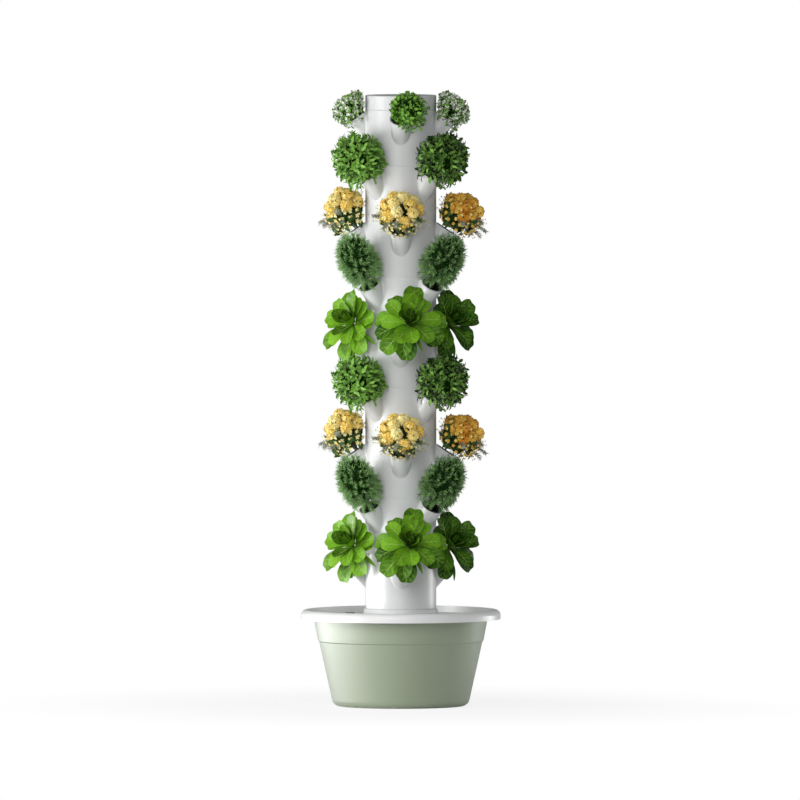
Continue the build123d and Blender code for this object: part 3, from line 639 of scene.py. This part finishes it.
def clear_of_tower(spots, own):
    """For each copy, whether all its points stay off the column and out of the ports' walls."""
    blocked = np.hypot(spots[..., 0], spots[..., 1]) < COLUMN_CLEAR
    for port in ports.values():
        if abs(port[2, 3] - own[2, 3]) > NEIGHBOUR_RISE:
            continue
        away = spots - port[:3, 3]
        height = away @ port[:3, 2]
        radius = np.linalg.norm(away - height[..., None] * port[:3, 2], axis=2)
        below_mouth = (height < CUP_TOP) & (height > -PORT_DEPTH)
        blocked |= below_mouth & (radius < PORT_CLEAR)
        if port is own:
            blocked &= ~(below_mouth & (radius < CUP_ROOM))
    return ~blocked.any(1)


def clear_on_the_way(spots, own):
    """For each copy, whether it stays clear of the tower while its cup is pulled out."""
    return np.all([clear_of_tower(spots + pull * own[:3, 2], own) for pull in PULLS], axis=0)


print(len(ports), "ports")

# %% [markdown]
# ## Copies
# A plant is a list of copies: a cutting, where each copy goes, its shade and its finish. The copies of one
# group of plants become one mesh. Besides the blade map, that mesh gets a second map where each copy has a
# small square of its own, so that an exported texture keeps every leaf's own shade.

# %% Copies


def unit(vectors):
    """Vectors at length 1."""
    return vectors / np.linalg.norm(vectors, axis=-1, keepdims=True).clip(1e-9)


def set_out(base, along, up, size):
    """Placements for copies: the foot at base, Y along the leaf and Z out of its upper side."""
    y = unit(along)
    x = unit(np.cross(y, up))
    places = np.zeros((len(base), 4, 4))
    for axis, vectors in enumerate((x, y, np.cross(x, y))):
        places[:, :3, axis] = vectors * np.reshape(size, (-1, 1))
    places[:, :3, 3] = base
    places[:, 3, 3] = 1
    return places


def placed_points(cutting, world):
    """The points of all copies of a cutting, in the model's frame."""
    return np.einsum("kij,nj->kni", world[:, :3, :3], cutting.points) + world[:, None, :3, 3]


def planted(name, body, node, finishes, plantings):
    """One mesh with all copies of the given plants, each a pair of port frame and list of copies."""
    groups = []
    for port, copies in plantings:
        for cutting, places, shades, finish in copies:
            spots = placed_points(cutting, port @ places)
            kept = clear_on_the_way(spots, port)
            groups.append((cutting, spots[kept], np.broadcast_to(shades, len(places))[kept], finish))
    side = math.ceil(math.sqrt(sum(len(spots) for _, spots, _, _ in groups)))
    points, corners, blades, squares, shade, slots = [], [], [], [], [], []
    done = start = 0
    for cutting, spots, shades, finish in groups:
        count, size = spots.shape[:2]
        points.append(spots.reshape(-1, 3))
        corners.append((cutting.corners + (start + np.arange(count) * size)[:, None, None]).reshape(-1, 3))
        blades.append(np.tile(cutting.blade, (count, 1)))
        cell = np.stack([np.arange(done, done + count) % side, np.arange(done, done + count) // side], 1)
        squares.append(((cell[:, None] + 0.08 + 0.84 * cutting.blade) / side).reshape(-1, 2))
        shade.append(np.repeat(shades, size))
        slots.append(np.full(count * len(cutting.corners), finish))
        start += count * size
        done += count
    mesh = bpy.data.meshes.new(name)
    mesh.from_pydata(np.concatenate(points), [], np.concatenate(corners))
    for label, values in (("blade", blades), ("OFBake", squares)):
        mesh.uv_layers.new(name=label).uv.foreach_set("vector", np.concatenate(values).ravel())
    mesh.attributes.new("shade", "FLOAT", "POINT").data.foreach_set("value", np.concatenate(shade))
    for finish in finishes:
        mesh.materials.append(finish)
    mesh.polygons.foreach_set("material_index", np.concatenate(slots))
    piece = bpy.data.objects.new(name, mesh)
    bpy.context.scene.collection.objects.link(piece)
    bpy.ops.object.select_all(action="DESELECT")
    piece.select_set(True)
    bpy.context.view_layer.objects.active = piece
    bpy.ops.object.shade_smooth_by_angle(angle=math.radians(50))
    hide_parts(node)
    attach(piece, body)
    print(name, done, "copies,", len(mesh.polygons), "faces")
    return piece


# %% [markdown]
# ## Shoots
# All plants but the lettuce grow the same way: shoots start on the plant's axis, bend outwards and end on a
# crown with a flat foot, about as wide at each height as its solid in the CAD. Leaves or needles sit round
# the outer part of each shoot, a golden angle apart.

# %% Shoots
GOLDEN = math.pi * (3 - math.sqrt(5))
TUBE_SIDES = 4
TUBE_RINGS = 5
CROWN_LOW = 0.0031
CROWN_RISE = (0.0, 0.14, 0.30, 0.55, 0.75, 0.90, 0.97, 1.0)
CROWN_WIDTH = (0.78, 0.93, 1.0, 1.0, 0.86, 0.60, 0.34, 0.0)
Crown = namedtuple("Crown", "radius height hang aside", defaults=[0.0])


def crown_middle(crown):
    """The middle of a crown, in the port's frame."""
    return np.array([crown.aside, -crown.hang, (CROWN_LOW + crown.height) / 2])


def crown_tips(draw, count, crown, margin, lowest=0.0, highest=1.0):
    """Even, slightly unsure points over a crown, a margin inside its skin."""
    rise = np.linspace(highest, lowest, 400)
    width = np.interp(rise, CROWN_RISE, CROWN_WIDTH)
    slope = np.hypot(np.gradient(rise) * crown.height / crown.radius, np.gradient(width))
    skin_share = np.cumsum(width * slope)
    number = np.arange(count) + 0.5
    rise = np.interp(number / count * skin_share[-1], skin_share, rise)
    width = np.interp(rise, CROWN_RISE, CROWN_WIDTH)
    turn = GOLDEN * number + draw.normal(0, 0.12, count)
    tall = crown.height - CROWN_LOW
    spot = np.stack([width * np.cos(turn), width * np.sin(turn), rise - 0.5], 1)
    reach = 1 - 0.14 * draw.random((count, 1))
    within = (crown.radius - margin, crown.radius - margin, tall - 2 * margin)
    return spot * reach * within + crown_middle(crown)


def bent(start, middle, end, share):
    """Points and directions on curves from start to end, drawn towards middle."""
    t = np.asarray(share)[..., None]
    a, b, c = start[:, None], middle[:, None], end[:, None]
    return (1 - t) ** 2 * a + 2 * t * (1 - t) * b + t**2 * c, unit(2 * (1 - t) * (b - a) + 2 * t * (c - b))


def round_about(ways, turn):
    """Directions square to the given ways, turned round them."""
    helper = np.where(np.abs(ways[..., 2:]) < 0.8, [0.0, 0.0, 1.0], [1.0, 0.0, 0.0])
    first = unit(np.cross(ways, helper))
    second = np.cross(ways, first)
    return first * np.cos(turn)[..., None] + second * np.sin(turn)[..., None]


def stems(start, middle, end, thick, thin):
    """Tapered four-sided stalks along such curves, as copies of one closed tube each."""
    share = np.linspace(0, 1, TUBE_RINGS)
    path, ways = bent(start, middle, end, np.broadcast_to(share, (len(start), TUBE_RINGS)))
    rim = np.linspace(0, 2 * math.pi, TUBE_SIDES, endpoint=False)
    copies = []
    girth = np.linspace(thick, thin, TUBE_RINGS)
    corners = []
    for ring in range(TUBE_RINGS - 1):
        for side in range(TUBE_SIDES):
            a, b = ring * TUBE_SIDES + side, ring * TUBE_SIDES + (side + 1) % TUBE_SIDES
            corners += [(a, b, b + TUBE_SIDES), (a, b + TUBE_SIDES, a + TUBE_SIDES)]
    last = (TUBE_RINGS - 1) * TUBE_SIDES
    for side in range(1, TUBE_SIDES - 1):
        corners += [(0, side + 1, side), (last, last + side, last + side + 1)]
    corners = np.array(corners)
    for points, way in zip(path, ways):
        around = np.stack([round_about(way, np.full(TUBE_RINGS, turn)) for turn in rim], 1)
        skin_points = (points[:, None] + around * girth[:, None, None]).reshape(-1, 3)
        flat = skin_points[corners.ravel()][:, [0, 2]]
        blade = (flat - flat.min(0)) / np.ptp(flat, axis=0).clip(1e-6)
        copies.append((Cutting(skin_points, corners, blade), np.eye(4)[None], 0.5, 1))
    return copies


def shoots(draw, tips, height, leaf, per_shoot, spread, size, shade, from_share=0.3, finish=0):
    """Leafy shoots to the given tips, as copies of the leaf and of their stalks."""
    count = len(tips)
    start = np.stack([*draw.normal(0, 0.002, (2, count)), draw.uniform(0.05, 0.45, count) * height], 1)
    middle = start * (1, 1, 0) + tips * (0.25, 0.25, 0) + (0, 0, 0.3 * height) + tips * (0, 0, 0.35)
    share = np.linspace(from_share, 1, per_shoot) + draw.normal(0, 0.01, (count, per_shoot))
    base, ways = bent(start, middle, tips, share)
    turn = GOLDEN * np.arange(per_shoot) + draw.uniform(0, 2 * math.pi, (count, 1))
    out = round_about(ways, turn + draw.normal(0, 0.25, turn.shape))
    lean = np.radians(spread) * (1.15 - 0.6 * share.clip(0, 1)) + draw.normal(0, 0.12, share.shape)
    along = ways * np.cos(lean)[..., None] + out * np.sin(lean)[..., None]
    up = ways * np.sin(lean)[..., None] - out * np.cos(lean)[..., None]
    sizes = size * draw.uniform(0.75, 1.12, share.shape)
    places = set_out(base.reshape(-1, 3), along.reshape(-1, 3), up.reshape(-1, 3), sizes.ravel())
    # Leaves low on a shoot, deep inside the crown, get a lower shade than those at its tip: painted shade inside
    # the plant. The random terms make leaves and shoots differ.
    shades = shade[0] + (shade[1] - shade[0]) * share.clip(0, 1) + draw.normal(0, 0.12, share.shape)
    shades += draw.normal(0, 0.19, (count, 1))
    copies = [(leaf, places, shades.ravel().clip(0, 1), finish)]
    return copies + stems(start, middle, tips, 0.0011, 0.0004)


def trunk(draw, count, height):
    """The stalks that rise from the foam plug to the middle of the crown."""
    foot = np.stack([*draw.normal(0, 0.0025, (2, count)), np.full(count, SPONGE_TOP - 0.004)], 1)
    head = np.stack([*draw.normal(0, 0.009, (2, count)), draw.uniform(0.4, 0.6, count) * height], 1)
    return stems(foot, foot * (1, 1, 0) + (0, 0, 0.2 * height), head, 0.0019, 0.0011)


print("shoots ready")

# %% [markdown]
# ## Shrubs
# The diagonal ports hold shrubs: fine-needled ones on tiers 2 and 6, and broad-leaved ones on tiers 4 and 8.
# On the tower the same planting comes back every four tiers, so a plant is grown once and set twice. The
# shrubs on the right side are darker: partly a darker kind, partly painted shade on the side away from the lamp.

# %% Shrubs
NEEDLE_CROWN = Crown(0.049, 0.138, -0.004)
LEAFY_CROWN = Crown(0.060, 0.106, 0.008)
# Lowers the shade of the right-hand shrubs: partly a darker kind, partly painted shade on the tower's shaded
# side.
DARKER = {"front_right": 0.55, "back_right": 0.55, "back_left": 0.0, "front_left": 0.0}


def shaded_middle(crown, share, finish):
    """A dark lump, as a share of its crown, that paints the shade inside a bush where it shows between the
    leaves.
    """
    place = np.eye(4)
    place[:3, 3] = crown_middle(crown)
    core = model_core(share * crown.radius, (share + 0.07) * crown.height)
    return [(core, place[None], 0.0, finish)]


def needle_shrub(seed, darker):
    """A dense round bush of fine needles."""
    draw = np.random.default_rng(seed)
    crown = NEEDLE_CROWN
    tips = crown_tips(draw, 195, crown, 0.004, -0.04)
    grown = shoots(draw, tips, crown.height, needle, 36, 62, 1.0, (0.0, 0.85 - darker), 0.45)
    return grown + trunk(draw, 5, crown.height) + shaded_middle(crown, 0.70, 3)


def leafy_shrub(seed, darker):
    """A loose round bush of small pointed leaves that hangs a little over the rim of its port."""
    draw = np.random.default_rng(seed)
    crown = LEAFY_CROWN
    tips = crown_tips(draw, 200, crown, 0.006, -0.16)
    grown = shoots(draw, tips, crown.height, shrub_leaf, 8, 60, 1.0, (0.0, 0.9 - darker), 0.5, 2)
    return grown + trunk(draw, 6, crown.height) + shaded_middle(crown, 0.60, 3)


for seed, (facing, angle) in enumerate(DIAGONAL.items()):
    fine = needle_shrub(10 + seed, 0.6 * DARKER[facing])
    broad = leafy_shrub(20 + seed, DARKER[facing])
    planted(
        f"shrub_plants_{facing}", f"cups_{facing}", f"shrubs_{facing}",
        [needle_green, stem_green, shrub_green, painted_shade_core],
        [(ports[tier, angle], bush) for tier, bush in ((2, fine), (6, fine), (4, broad), (8, broad))],
    )

# %% [markdown]
# ## Lettuces
# A lettuce is a rosette that turns its face outwards: broad leaves lie open round a heart of smaller upright
# ones, and a few narrow leaves hang below. Its axis leans further out than the port does, and at the sides it
# turns to the front. A leaf that would touch the tower is raised towards the axis, step by step, as a growing
# leaf bends away from a wall.

# %% Lettuces
ROSETTE_LEAN = {"front": 0.47, "right": 0.85, "back": 0.47, "left": 0.85}
HEARTS = {  # where the heart stands over the mouth: aside, outwards and along the port
    "front": (0.018, 0.0, 0.050), "right": (-0.027, -0.017, 0.031), "back": (0.0, 0.0, 0.044),
    "left": (0.027, -0.017, 0.031),
}
# The shade column paints the heart darker than the open leaves round it: painted shade in the heart.
RINGS = (  # leaf, count, degrees from the axis, size, rise of the foot, shade
    (outer_lettuce, 9, 76, 1.00, 0.000, 0.45),
    (outer_lettuce, 8, 56, 0.86, 0.004, 0.60),
    (inner_lettuce, 6, 36, 0.90, 0.008, 0.45),
    (inner_lettuce, 4, 15, 0.70, 0.012, 0.20),
)
# Painted light and shade by side: lettuces on the lit left are painted lighter, those on the right and back
# darker.
LETTUCE_PAINTED_LIGHT = {"front": 0.0, "right": -0.30, "back": -0.1, "left": 0.15}
LETTUCE_TURN = {"front": 0.15, "right": -1.3, "back": 0.0, "left": 1.3}
RAISED = 0.22  # radians a leaf gives way at each step


def lettuce(seed, port, lighter, turned, leaning, heart):
    """One rosette, in its port's frame, with its face turned aside and leaning out by two angles."""
    draw = np.random.default_rng(seed)
    heart = np.array(heart) * (1, -1, 1)
    aside = np.array([math.cos(turned), math.sin(turned), 0])
    outward = np.array([math.sin(turned), -math.cos(turned), 0])
    axis = outward * math.sin(leaning) + np.array([0, 0, math.cos(leaning)])
    above = -outward * math.cos(leaning) + np.array([0, 0, math.sin(leaning)])
    copies = []
    for leaf, count, spread, size, rise, shade in RINGS:
        turn = 2 * math.pi * (np.arange(count) + draw.random()) / count + draw.normal(0, 0.16, count)
        out = np.outer(np.cos(turn), above) + np.outer(np.sin(turn), aside)
        lean = np.radians(spread + draw.normal(0, 9, count))[:, None]
        twist, sizes = draw.normal(0, 0.16, (count, 3)), size * draw.uniform(0.88, 1.08, count)
        foot = heart + axis * rise + out * 0.004
        for step in range(6):
            along = axis * np.cos(lean) + out * np.sin(lean)
            up = axis * np.sin(lean) - out * np.cos(lean) + twist
            places = set_out(foot, along, up, sizes)
            lean = lean - RAISED * ~clear_on_the_way(placed_points(leaf, port @ places), port)[:, None]
        copies.append((leaf, places, (shade + lighter + draw.normal(0, 0.12, count)).clip(0, 1), 0))
    for leaf, turn in ((strap_lettuce, [-0.75, -0.35, 0.5]), (outer_lettuce, [0.85])):
        turn = np.pi + np.array(turn)
        out = np.outer(np.cos(turn), above) + np.outer(np.sin(turn), aside)
        foot = heart - (0, 0, 0.006) + out * 0.006
        places = set_out(foot, out + 0.2 * axis, axis, draw.uniform(0.9, 1.1, len(turn)))
        copies.append((leaf, places, np.full(len(turn), 0.45 + lighter).clip(0, 1), 0))
    foot = np.array([[0, 0, SPONGE_TOP - 0.004]])
    return copies + stems(foot, heart[None] * (0, 0, 0.4), heart[None] + axis * 0.008, 0.0075, 0.0045)


for seed, (facing, angle) in enumerate(STRAIGHT.items()):
    rosette = lettuce(
        30 + seed, ports[5, angle], LETTUCE_PAINTED_LIGHT[facing], LETTUCE_TURN[facing], ROSETTE_LEAN[facing],
        HEARTS[facing],
    )
    planted(
        f"lettuce_plants_{facing}", f"cups_{facing}", f"lettuces_{facing}",
        [lettuce_green, stem_green], [(ports[1, angle], rosette), (ports[5, angle], rosette)],
    )

# %% [markdown]
# ## Flowers
# The flowers of tiers 3 and 7 stand in round heads of many small florets, pale yellow on the left, golden in
# front and amber on the right. The deeper tone towards the right is partly the flowers' own colour and partly
# painted shade on the side away from the lamp. Single florets stand loose below the heads, over dark leaves. Tiny
# pale ones
# on thin stalks and a few grey feathery sprigs reach out past them.

# %% Flowers
FLOWER_CROWN = Crown(0.052, 0.100, 0.002)
FLOWER_HANG = {"front": 0.002, "right": 0.011, "back": 0.002, "left": -0.005}
HEAD_RADIUS = 0.0135
FLORETS_PER_HEAD = 30
# Petal tone by side: pale on the lit left, deepening to amber on the right, partly the flowers' own colour and
# partly painted shade.
FLOWER_SHADE = {"front": 0.22, "right": 0.66, "back": 0.55, "left": 0.14}


def flower_heads(draw, middles, ways, shade):
    """Florets over the outer side of round heads."""
    number = np.arange(FLORETS_PER_HEAD) + 0.5
    rise = 1 - 1.45 * number / FLORETS_PER_HEAD
    ring = np.sqrt(1 - rise**2)
    base, along, up = [], [], []
    for middle, way in zip(middles, ways):
        first = unit(np.cross(way, (0.3, 0.9, 0.2)))
        second = np.cross(way, first)
        turn = (GOLDEN * number + draw.random() * 6)[:, None]
        face = way * rise[:, None] + (first * np.cos(turn) + second * np.sin(turn)) * ring[:, None]
        face = unit(face + draw.normal(0, 0.10, face.shape))
        base.append(middle + face * HEAD_RADIUS * draw.uniform(0.72, 0.9, (len(face), 1)))
        up.append(face)
        along.append(round_about(face, draw.uniform(0, 6.28, len(face))))
    base, along, up = (np.concatenate(rows) for rows in (base, along, up))
    places = set_out(base, along, up, draw.uniform(0.8, 1.15, len(base)))
    shades = shade + np.repeat(draw.normal(0, 0.12, len(middles)), FLORETS_PER_HEAD)
    return [(floret, places, (shades + draw.normal(0, 0.10, len(base))).clip(0, 1), 0)]


def single_florets(draw, spots, face, sizes):
    """Places for florets that stand alone, each turned about its stalk as it comes."""
    along = round_about(face, draw.uniform(0, 6.28, len(face)))
    return set_out(spots, along, face, draw.uniform(*sizes, len(face)))


def flower_bunch(seed, shade, hang):
    """Heads, loose florets, leaves and feathery sprigs of one flowering plant."""
    draw = np.random.default_rng(seed)
    crown, height = FLOWER_CROWN._replace(hang=hang), FLOWER_CROWN.height
    middle = crown_middle(crown)
    heads = crown_tips(draw, 15, crown, 0.011, 0.40)
    copies = flower_heads(draw, heads, unit(heads - middle), shade)
    hub = np.tile([0, 0, 0.25 * height], (len(heads), 1))
    copies += stems(hub, hub + (0, 0, 0.2 * height), heads, 0.0012, 0.0009)
    loose = crown_tips(draw, 76, crown, 0.003, 0.0, 0.62)
    face = unit(loose - middle + draw.normal(0, 0.012, loose.shape))
    places = single_florets(draw, loose, face, (0.7, 1.0))
    copies.append((floret, places, (shade - 0.1 + draw.normal(0, 0.12, len(face))).clip(0, 1), 0))
    hub = np.tile([0, 0, 0.2 * height], (len(loose), 1))
    copies += stems(hub, hub + (0, 0, 0.15 * height), loose - face * 0.001, 0.0008, 0.0005)
    spray = crown_tips(draw, 60, crown._replace(radius=crown.radius + 0.012), 0.0, 0.12, 0.75)
    face = unit(spray - middle)
    places = single_florets(draw, spray, face, (0.4, 0.55))
    copies.append((floret, places, (0.3 * shade + draw.normal(0, 0.05, len(face))).clip(0, 1), 0))
    hub = np.tile([0, 0, 0.3 * height], (len(spray), 1))
    copies += stems(hub, hub + (0, 0, 0.1 * height), spray, 0.0005, 0.0003)
    tips = crown_tips(draw, 20, crown, 0.014, 0.0, 0.55)
    copies += shoots(draw, tips, height, flower_base_leaf, 5, 70, 1.0, (0.1, 0.7), 0.4, 2)
    turn = np.radians([-75, -38, -12, 14, 40, 72])
    side = np.stack([np.sin(turn), -np.cos(turn), draw.uniform(-0.1, 0.4, len(turn))], 1)
    reach = (crown.radius + 0.019) * draw.uniform(0.9, 1.0, (len(turn), 1))
    sprigs = middle - (0, 0, 0.016) + unit(side) * reach
    copies += shoots(draw, sprigs, height, needle, 120, 80, 0.8, (0.4, 0.9), 0.6, 3)
    return copies + trunk(draw, 5, height)


for seed, (facing, angle) in enumerate(STRAIGHT.items()):
    bunch = flower_bunch(40 + seed, FLOWER_SHADE[facing], FLOWER_HANG[facing])
    planted(
        f"flower_plants_{facing}", f"cups_{facing}", f"flowers_{facing}",
        [petal_gold, stem_green, flower_leaf, grey_green],
        [(ports[3, angle], bunch), (ports[7, angle], bunch)],
    )

# %% [markdown]
# ## Herbs
# The top tier holds small herbs: a bright green one in front, and white-flecked ones at the sides.

# %% Herbs
HERB_CROWNS = {
    "front": Crown(0.043, 0.066, 0.004, 0.018), "right": Crown(0.045, 0.056, 0.0),
    "back": Crown(0.036, 0.050, 0.010), "left": Crown(0.045, 0.056, -0.003),
}
FLECKED = {"front": False, "right": True, "back": False, "left": True}


def herb(seed, crown, flecked):
    """A small round herb, whose lower shoots hang a little over the rim of the port."""
    draw = np.random.default_rng(seed)
    tips = crown_tips(draw, 125, crown, 0.004, -0.45)
    grown = trunk(draw, 4, crown.height) + shaded_middle(crown, 0.66, 3)
    if flecked:
        grown += shoots(draw, tips * 1.04, crown.height, herb_leaf, 5, 62, 0.8, (0.7, 1.0), 0.82, 2)
    return grown + shoots(draw, tips, crown.height, herb_leaf, 9, 62, 1.0, (0.0, 0.85), 0.35)


for seed, (facing, angle) in enumerate(STRAIGHT.items()):
    planted(
        f"herb_plants_{facing}", f"cups_{facing}", f"herbs_{facing}",
        [herb_green, stem_green, flecked_green, painted_shade_core],
        [(ports[9, angle], herb(50 + seed, HERB_CROWNS[facing], FLECKED[facing]))],
    )

# %% [markdown]
# ## Foam plugs
# Each cup holds a tapered plug of dark growing foam with a hole for the roots. A cylinder is drawn in at its
# foot, its rim is rounded, and the hole is inset and pressed into its top. Noise then roughens the skin.

# %% Foam finish
foam_brown, tree = empty_material("foam_brown")
place = object_place(tree)
pores = put(tree, "ShaderNodeTexVoronoi", {"Vector": place, "Scale": 620.0}).outputs["Distance"]
# The pits of the pores are sunk by the bump and also painted near-black: painted shade in the pits.
hollow = ranged(tree, pores, 0.15, 0.5)
tone = mixed(tree, noise(tree, place, 120, 3), rgba(70, 54, 38), rgba(112, 90, 62))
relief = put(tree, "ShaderNodeBump", {"Strength": 0.8, "Distance": 0.0008, "Height": hollow})
shader = put(
    tree,
    "ShaderNodeBsdfPrincipled",
    {
        "Base Color": mixed(tree, hollow, rgba(36, 27, 19), tone),
        "Roughness": ranged(tree, hollow, 0.0, 1.0, 1.0, 0.82),
        "Normal": relief.outputs[0],
    },
)
put(tree, "ShaderNodeOutputMaterial", {"Surface": shader.outputs[0]})

# %% Foam plugs
PLUG_RADIUS = 0.0168
PLUG_HEIGHT = 0.0295
PLUG_TAPER = math.tan(math.radians(7))
PLUG_HOLE = 0.0085

plug = started(
    bpy.ops.mesh.primitive_cylinder_add, vertices=24, radius=PLUG_RADIUS, depth=PLUG_HEIGHT, calc_uvs=True
)
pick(lambda v: v.co.z < 0)
drawn_in = 1 - PLUG_TAPER * PLUG_HEIGHT / PLUG_RADIUS
bpy.ops.transform.resize(value=(drawn_in, drawn_in, 1), center_override=(0, 0, 0))
pick(lambda v: v.co.z > 0)
bpy.ops.mesh.bevel(offset=0.0014, segments=2, affect="EDGES")
pick(lambda v: v.co.z > PLUG_HEIGHT / 2 - 1e-5)
bpy.ops.mesh.inset(thickness=PLUG_RADIUS - PLUG_HOLE)
bpy.ops.mesh.extrude_region_move(TRANSFORM_OT_translate={"value": (0, 0, -0.009)})
pick(lambda v: True)
bpy.ops.transform.translate(value=(0, 0, SPONGE_TOP - PLUG_HEIGHT / 2))
lumps = bpy.data.textures.new("foam_lumps", "CLOUDS")
lumps.noise_scale = 0.006
foam_plug = finished(
    plug, ("DISPLACE", {"texture": lumps, "strength": 0.0006, "mid_level": 1.0, "texture_coords": "LOCAL"})
)
print("foam plug", len(foam_plug.corners), "faces")

for facing, angle in {**STRAIGHT, **DIAGONAL}.items():
    tiers = range(1, 10, 2) if facing in STRAIGHT else range(2, 10, 2)
    planted(
        f"foam_plugs_{facing}", f"cups_{facing}", f"grow_sponges_{facing}", [foam_brown],
        [(ports[tier, angle], [(foam_plug, np.eye(4)[None], 0.5, 0)]) for tier in tiers],
    )
